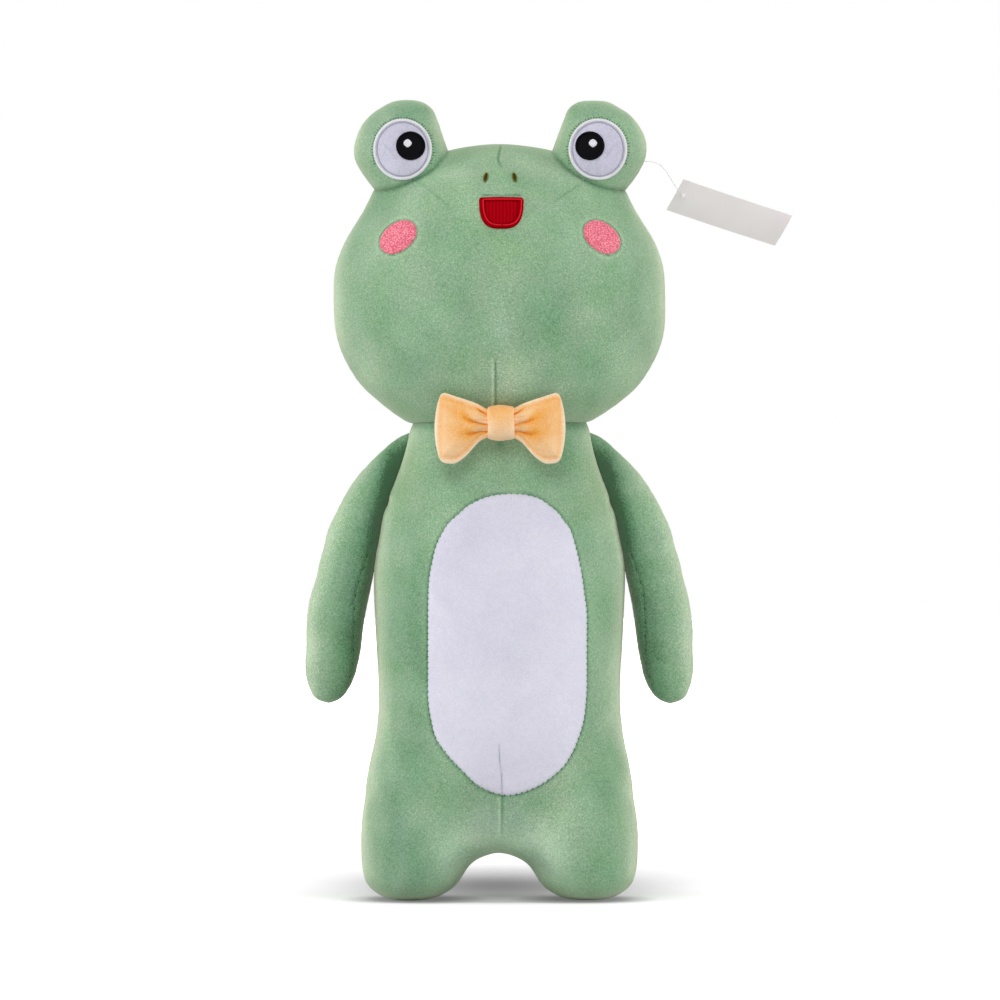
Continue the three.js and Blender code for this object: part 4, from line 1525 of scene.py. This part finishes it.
def lobed(u, v):
    """Three soft lobes, parted by two folds that run out from the band and fade: 0 in a fold, 1 on a lobe.
    Also where painted shade lies: deepest just under a fold, and in the short fold at the band's top."""
    upper = -0.16 + 0.96 * u
    lower = -0.56 + 0.64 * u
    height = np.ones_like(u)
    for low, high in ((-1.15, lower), (lower, upper), (upper, 1.1)):
        inside = (v >= low) & (v <= high)
        share = (2 * v - low - high) / (high - low)
        height = np.where(inside, np.sqrt(np.clip(1 - share**2, 0, 1)), height)
    fade = fall(u, 0.6, 0.45) ** 1.1 * np.clip(0.45 + u / 0.25, 0, 1)
    spread = 0.13 + 0.16 * rise(u, 0, 0.6)
    soft = 0.02 + 0.3 * rise(u, 0.2, 0.35)
    below = 0
    for line in (upper, lower):
        under = np.exp(-np.clip(line - v, 0, 9) / spread)
        below = below + np.where(v < line, under, near(v - line, soft))
    top_fold = near(v - 0.53 - u, 0.07) * fall(u, 0.3, 0.15)
    return 1 - fade * (1 - height), below * fall(u, 0.88, 0.5), top_fold


# A wing's rounded rim, the crease inside it and the pillow that swells behind the crease
RIM_WIDE = 2.0 * MM
CREASE_DEEP = 0.7 * MM
CREASE_IN = 4.2 * MM
CREASE_WIDE = 1.0 * MM
PILLOW_HIGH = 6.6 * MM
PILLOW_IN = 2.5 * MM
PILLOW_REACH = 8 * MM
# Its folds, the gathers beside the band, and its sweep back towards its end
FOLD_DEEP = 1.3 * MM
TOP_FOLD_DEEP = 0.8 * MM
GATHER_DEEP = 0.5 * MM
GATHER_TURNS = 24
WAIST_DEEPEST = -2 * MM
SWEEP = 4 * MM
WING_FORWARD = 1.5 * MM
# The painted highlight on the rolled rim, and the painted shade in the crease inside it
PALE_RIM_WIDE = 2.1 * MM
DARK_LINE_IN = 4.5 * MM
DARK_LINE_WIDE = 1.5 * MM
WING_WELD = 0.02 * MM


def make_wing(name, side):
    columns, rows = WING_COLUMNS, WING_ROWS
    u, v, x, z, away = wing_surface(side).T
    rim = RIM_WIDE * np.sqrt(1 - (1 - rise(away, 0, RIM_WIDE)) ** 2)
    crease = CREASE_DEEP * near(away - CREASE_IN, CREASE_WIDE) * rise(u, 0, 0.3)
    pillow = PILLOW_HIGH * (1 - np.exp(-((np.maximum(away - PILLOW_IN, 0) / PILLOW_REACH) ** 1.2)))
    lobes, below, top_fold = lobed(u, v)
    wave = np.cos(v * GATHER_TURNS + side)
    gathers = GATHER_DEEP * wave * np.exp(-u / 0.12) * np.clip((v + 0.3) / 0.5, 0.3, 1)
    front = (rim + pillow - crease) * (0.4 + 0.6 * lobes) + FOLD_DEEP * (lobes - 1)
    front += gathers - TOP_FOLD_DEEP * top_fold
    back = rim + 0.75 * pillow
    waist = 1 - 0.3 * np.exp(-u / 0.12)
    sweep = SWEEP * u**2 - WING_FORWARD
    sheets = []
    for thick, way in ((np.maximum(front * waist, WAIST_DEEPEST), -1), (np.maximum(back, 0), 1)):
        y = -bow_depth + sweep + way * np.where(away > 0, thick, 0)
        sheets.append(np.stack([bow_middle[0] + x, y, bow_middle[1] + z], axis=1))
    half = columns * rows
    faces = []
    for i in range(columns - 1):
        for j in range(rows - 1):
            a, b = i * rows + j, (i + 1) * rows + j
            faces.append((a, b, b + 1, a + 1))
            faces.append((half + a, half + a + 1, half + b + 1, half + b))
    loop = (
        [i * rows for i in range(columns)]
        + [(columns - 1) * rows + j for j in range(1, rows)]
        + [i * rows + rows - 1 for i in range(columns - 2, -1, -1)]
        + [j for j in range(rows - 2, 0, -1)]
    )
    for a, b in zip(loop, loop[1:] + loop[:1]):
        faces.append((a, half + a, half + b, b))
    wing = new_object(f"bow_tie_{name}_wing", np.vstack(sheets), faces, outward=False)
    # Painted light and shade: a highlight on the rim, shade under the folds, in the crease and in the
    # gathers' hollows, a paler crest on each gather; the colour is also deeper towards the top
    pale = 0.27 + 0.85 * 0.45 * near(away, PALE_RIM_WIDE) * rise(u, 0, 0.25)
    deep = 0.56 * below + 0.5 * top_fold + 0.12 * near(away - DARK_LINE_IN, DARK_LINE_WIDE)
    deep += 0.18 * np.maximum(v, 0)
    deep += 0.25 * np.exp(-u / 0.1) * np.clip(-wave, 0, 1) - 0.2 * np.exp(-u / 0.14) * np.clip(wave, 0, 1)
    set_layer(wing, "nap_and_shade", np.tile(pale - deep, 2))
    facing_out(wing, WING_WELD)
    return wing


band_shares = [
    (-1, 0, 0), (-0.99, 0.8, 0.72), (-0.93, 0.92, 0.86), (-0.8, 0.97, 0.93), (-0.5, 0.99, 0.98),
    (0, 1, 1), (0.5, 0.99, 0.98), (0.8, 0.97, 0.93), (0.93, 0.92, 0.86), (0.99, 0.8, 0.72), (1, 0, 0),
]


BAND_ASIDE = 0.6 * MM
BAND_DROP = 0.4 * MM
PLEAT_DEEP = 0.35 * MM
PLEAT_WIDE = 2.4 * MM
BAND_SHADE_FROM = 3 * MM
BAND_SHADE_TALL = 10 * MM


def make_band():
    half_wide = (band_high.x - band_low.x) / 2 * 0.96
    half_tall = (band_high.z - band_low.z) / 2 * 0.96
    half_deep = (band_high.y - band_low.y) / 2
    rows = [
        (out * half_wide, 0, tall * half_tall, deep * half_deep, deep * half_deep)
        for out, tall, deep in band_shares
    ]
    vertices, faces = loft(curve(rows, 48), 72, 2.3)
    middle_x = bow_middle[0] + BAND_ASIDE
    middle_y = (band_low.y + band_high.y) / 2
    middle_z = seen_at(0, (band_low.z + band_high.z) / 2, bow_depth)[1] - BAND_DROP
    turned = [(middle_x + v[2], middle_y + v[1], middle_z + v[0]) for v in vertices]
    band = new_object("bow_tie_knot", turned, faces)
    at = places(band)
    angle = np.arctan2(at[:, 2] - middle_z, at[:, 1] - middle_y)
    pleat = PLEAT_DEEP * np.cos(at[:, 0] / PLEAT_WIDE + 1.4 * np.sin(angle * 2))
    set_places(band, at + normals(band) * pleat[:, None])
    lower = np.clip((middle_z + BAND_SHADE_FROM - at[:, 2]) / BAND_SHADE_TALL, -1, 1)
    ends = np.abs(at[:, 0] - middle_x) / half_wide
    set_layer(band, "nap_and_shade", 0.14 + 0.2 * lower + 0.16 * ends**5)
    return band


wings = [make_wing(name, side) for name, side in SIDES]
dress(wings[0], orange_plush, "satin_orange", "bow_tie_wings")
dress(wings[1], orange_plush, "satin_orange")
band = make_band()
dress(band, orange_plush, "satin_orange", "bow_tie_band")


# Rides, fills, and the lie of the pile with its painted light and shade

dress(body_bag, green_plush, "plush_green", *bag_nodes("body"))
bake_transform(body_bag)
dress(head_bag, green_plush, "plush_green", *bag_nodes("head"))
for name, _ in SIDES:
    dress(pods[name], green_plush, "plush_green", *bag_nodes(f"{name}_eye_pod"))
    dress(arms[name], green_plush, "plush_green", *bag_nodes(f"{name}_arm"))
    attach(pods[name], "head")
    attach(arms[name], f"{name}_arm")
for piece in [head_bag, band] + wings + face:
    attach(piece, "head")
for piece in belly:
    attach(piece, "body")

# Patches on the trunk, the head and the belly panel: some are pile brushed another way, many are painted
# light and shade, such as painted shade under the head, the bow and its knot, and painted light on the
# inner thighs, the crotch and the head's lower edges
trunk_patches = [
    (-64, 24, 15, 26, -0.22), (68, 30, 14, 26, -0.16), (-62, 98, 14, 18, -0.16),
    (-75, 76, 13, 18, -0.12), (77, 80, 13, 18, -0.12), (-38, 30, 13, 16, 0.32), (40, 30, 13, 16, 0.28),
    (-22, 54, 24, 18, 0.2), (34, 56, 20, 16, 0.16), (2, 46, 30, 9, 0.3), (-76, 46, 16, 28, -0.1),
    (-70, 205, 14, 60, -0.1), (-62, 356, 40, 4, -0.3), (62, 356, 40, 4, -0.3),
    (-28, 316, 26, 16, -0.12), (30, 318, 26, 14, -0.07), (4, 308, 22, 8, 0.06), (-64, 312, 9, 26, 0.04),
    (70, 200, 10, 50, 0.1), (-60, 200, 8, 66, -0.12), (0.8, 341, 3, 4, -0.3),
]
head_patches = [
    (1, 455, 12, 24, 0.1), (1, 424, 10, 16, 0.06), (1, 497, 22, 9, -0.12), (-26, 440, 16, 30, -0.1),
    (34, 442, 17, 30, -0.1), (11, 393, 12, 15, 0.2), (-58, 455, 20, 30, 0.05), (-70, 400, 20, 16, -0.1),
    (72, 400, 20, 16, -0.1), (0, 536, 20, 12, -0.08), (-94, 395, 14, 18, 0.24), (94, 395, 14, 18, 0.24),
]
head_patches += [(side * 76, 495, 19, 17, 0.12) for side in (-1, 1)] + [(1, 513, 24, 20, 0.1)]
head_patches += [(side * 84, 440, 26, 34, 0.1) for side in (-1, 1)]
belly_patches = [
    (2, 184, 12, 12, -0.08), (14, 172, 10, 8, -0.06), (6, 120, 60, 50, 0.08), (6, 290, 70, 40, -0.12),
]
# The same for the left pod and arm, which the right ones mirror: the pod's top is darker, and the arm's
# patches are mostly painted shade at its root beside the body
pod_patches = [(72, 592, 26, 8, -0.2)]
arm_patches = [
    (77, 327, 11, 17, -0.52), (82, 304, 9, 28, -0.4), (90, 270, 9, 28, -0.45), (118, 215, 14, 30, -0.1),
    (143, 190, 9, 30, 0.14),
]
# Where the colour is cooler and greyer
trunk_tints = [(0, 50, 34, 20, 0.9)]
for side in (-1, 1):
    trunk_tints += [(side * 38, 30, 14, 20, 0.7), (side * 68, 310, 14, 26, -0.5)]
head_tints = [(1, 424, 10, 18, 0.6), (0, 490, 26, 30, -0.3)]
# Round each cheek: how much wider than it, width, and how much paler
cheek_edges = ((1.6, 1.6, 0.14), (0.4, 0.7, -0.5))
for name, side in SIDES:
    for wider, width, amount in cheek_edges:
        edge = cheek_outline(name, side, wider * MM)[2]
        head_seams.append((looped(edge), width, amount))
pod_trees = {name: tree_of(pods[name]) for name in pods}


def mirrored(patches, side):
    return [(side * x, *rest) for x, *rest in patches]


# These layers hold painted light and shade with the pile's lie: patches, seams, rims, inner arms and the
# places where bags meet
nap_and_shade_of(body_bag, 5, 0.13, trunk_patches, trunk_seams, rim_highlight=0.38)
tint_of(body_bag, trunk_tints)
nap_and_shade_of(head_bag, 7, 0.07, head_patches, head_seams, rim_highlight=0.31, meets=pod_trees.values())
tint_of(head_bag, head_tints)
for name, side in SIDES:
    nap_and_shade_of(pods[name], 9 + side, 0.14, mirrored(pod_patches, side), rim_highlight=0.2, meets=[head_tree])
    # Painted shade along the arm's seam
    seam = [(arm_seams[name], 0.9, -0.1)]
    patches = mirrored(arm_patches, side)
    nap_and_shade_of(arms[name], 13 + side, 0.06, patches, seam, rim_highlight=0.3, inner_side=-side)
# Painted shade along the centre seam, on the belly panel
nap_and_shade_of(belly[0], 6, 0.08, belly_patches, [(centre_seam, 0.8, -0.3)], rough=0.03)


# Floor, lamps and sky

SKY = 0.36
FLOOR_REACH = 12.0
# The floor glows a little more beyond the middle
GLOW_FROM = 0.4
GLOW_TO = 1.6
FLOOR_SEEN = 1.08
# The painted shadow: how deep it is, its half sizes, how far behind the middle it lies, how far occlusion
# looks for the toy, and how far the painted contact shade reaches
SHADOW_DEEP = 0.27
SHADOW_WIDE = 115 * MM
SHADOW_LONG = 280 * MM
SHADOW_BACK = 175 * MM
SHADOW_REACH = 600 * MM
CONTACT_REACH = 30 * MM
WHITE = (1, 1, 1, 1)
PAPER = (0.75, 0.75, 0.75, 1)


def studio_floor():
    """Matt white paper, seen as white and partly lit by the lamps, with the toy's shadow painted on: a soft
    oval pool behind the toy, where occlusion towards the front finds it, and a contact shade where
    occlusion close by finds it.
    """
    material, tree = new_material("white_backdrop_paper")
    place = add(tree, "TexCoord").outputs["Object"]
    far = add(tree, "VectorMath", {0: place}, operation="LENGTH").outputs["Value"]
    glow = add(tree, "MapRange", {"Value": far, "From Min": GLOW_FROM, "From Max": GLOW_TO})
    # A painted shadow: a soft oval pool behind the toy, darkened where occlusion towards the front finds it
    forward = add(tree, "CombineXYZ", {"Y": -0.8, "Z": 0.6}).outputs[0]
    seen_by = {"Distance": SHADOW_REACH, "Normal": forward}
    lit_side = add(tree, "AmbientOcclusion", seen_by, samples=24).outputs["AO"]
    turned = {"From Min": 0.8, "From Max": 0.98, "To Min": 1.0, "To Max": 0.0}
    hidden = add(tree, "MapRange", {"Value": lit_side, **turned})
    scale = (per_metre(SHADOW_WIDE), per_metre(SHADOW_LONG), 0)
    shift = (0, -SHADOW_BACK / SHADOW_LONG, 0)
    spread = add(tree, "VectorMath", {0: place, 1: scale, 2: shift}, operation="MULTIPLY_ADD")
    from_middle = add(tree, "VectorMath", {0: spread.outputs[0]}, operation="LENGTH")
    fading = {"Value": from_middle.outputs["Value"], "From Max": 1.7, "To Min": 1.0, "To Max": 0.0}
    shadow_pool = add(tree, "MapRange", fading, interpolation_type="SMOOTHSTEP")
    dark = add(tree, "Math", {0: shadow_pool.outputs[0], 1: hidden.outputs[0]}, operation="MULTIPLY")
    depths = {"To Min": FLOOR_SEEN, "To Max": SHADOW_DEEP}
    painted_shadow = add(tree, "MapRange", {"Value": dark.outputs[0], **depths})
    # A painted contact shade where occlusion close by finds the toy
    close_by = add(tree, "AmbientOcclusion", {"Distance": CONTACT_REACH}, samples=8)
    touching = {"From Min": 0.3, "From Max": 0.9, "To Min": 0.5, "To Max": 1.0}
    painted_contact_shade = add(tree, "MapRange", {"Value": close_by.outputs["AO"], **touching})
    shade = add(tree, "Math", {0: painted_shadow.outputs[0], 1: painted_contact_shade.outputs[0]}, operation="MULTIPLY")
    glowing = {0: shade.outputs[0], 1: 0.5, 2: glow.outputs[0]}
    bright = add(tree, "Math", glowing, operation="MULTIPLY_ADD")
    light = add(tree, "Emission", {"Color": WHITE, "Strength": bright.outputs[0]})
    dimmed = add(tree, "Math", {0: shade.outputs[0], 1: 0.6}, operation="MULTIPLY")
    shaded = add(tree, "BsdfDiffuse", {"Color": dimmed.outputs[0]})
    both = add(tree, "AddShader", {0: shaded.outputs[0], 1: light.outputs[0]})
    paper = add(tree, "BsdfDiffuse", {"Color": PAPER})
    seen = add(tree, "LightPath").outputs["Is Camera Ray"]
    surface = add(tree, "MixShader", {0: seen, 1: paper.outputs[0], 2: both.outputs[0]})
    return finished(material, surface)


def make_floor():
    corners = [(x * FLOOR_REACH, y * FLOOR_REACH, 0) for x, y in ((-1, -1), (1, -1), (1, 1), (-1, 1))]
    floor = new_object("floor", corners, [(0, 1, 2, 3)], smooth=False, outward=False)
    floor.data.materials.append(studio_floor())


def make_lamp(name, place, size, power):
    light = bpy.data.lights.new(name, "AREA")
    light.shape = "RECTANGLE"
    light.size, light.size_y = size
    light.energy = power
    lamp = bpy.data.objects.new(name, light)
    lamp.location = place
    lamp.rotation_euler = (LAMPS_AIM - Vector(place)).to_track_quat("-Z", "Y").to_euler()
    bpy.context.scene.collection.objects.link(lamp)


def make_sky():
    world = bpy.data.worlds.new("studio")
    bpy.context.scene.world = world
    world.use_nodes = True
    tree = world.node_tree
    tree.nodes.clear()
    ray = add(tree, "LightPath").outputs
    seen = ray["Is Glossy Ray"]
    for kind in ("Is Transmission Ray", "Is Camera Ray"):
        seen = add(tree, "Math", {0: seen, 1: ray[kind]}, operation="MAXIMUM").outputs[0]
    lit, white = [
        add(tree, "Background", {"Color": WHITE, "Strength": strength}) for strength in (SKY, 1.0)
    ]
    both = add(tree, "MixShader", {0: seen, 1: lit.outputs[0], 2: white.outputs[0]})
    add(tree, "OutputWorld", {"Surface": both.outputs[0]})


LAMPS_AIM = Vector((0, 0, 0.3))
make_floor()
make_sky()
# Lamps: place in metres, size, and power in watts
for lamp in (
    ("front", (-0.4, -2.7, 2.0), (1.4, 1.4), 33),
    ("left_side", (-2.0, -0.5, 0.8), (0.8, 1.6), 16),
    ("right_side", (2.0, -0.5, 0.8), (0.8, 1.6), 16),
    ("top", (0, -0.2, 2.6), (1.6, 1.6), 9),
    ("back", (0.3, 2.7, 1.7), (1.6, 1.6), 15),
):
    make_lamp(*lamp)
bpy.context.scene.view_settings.view_transform = "Standard"
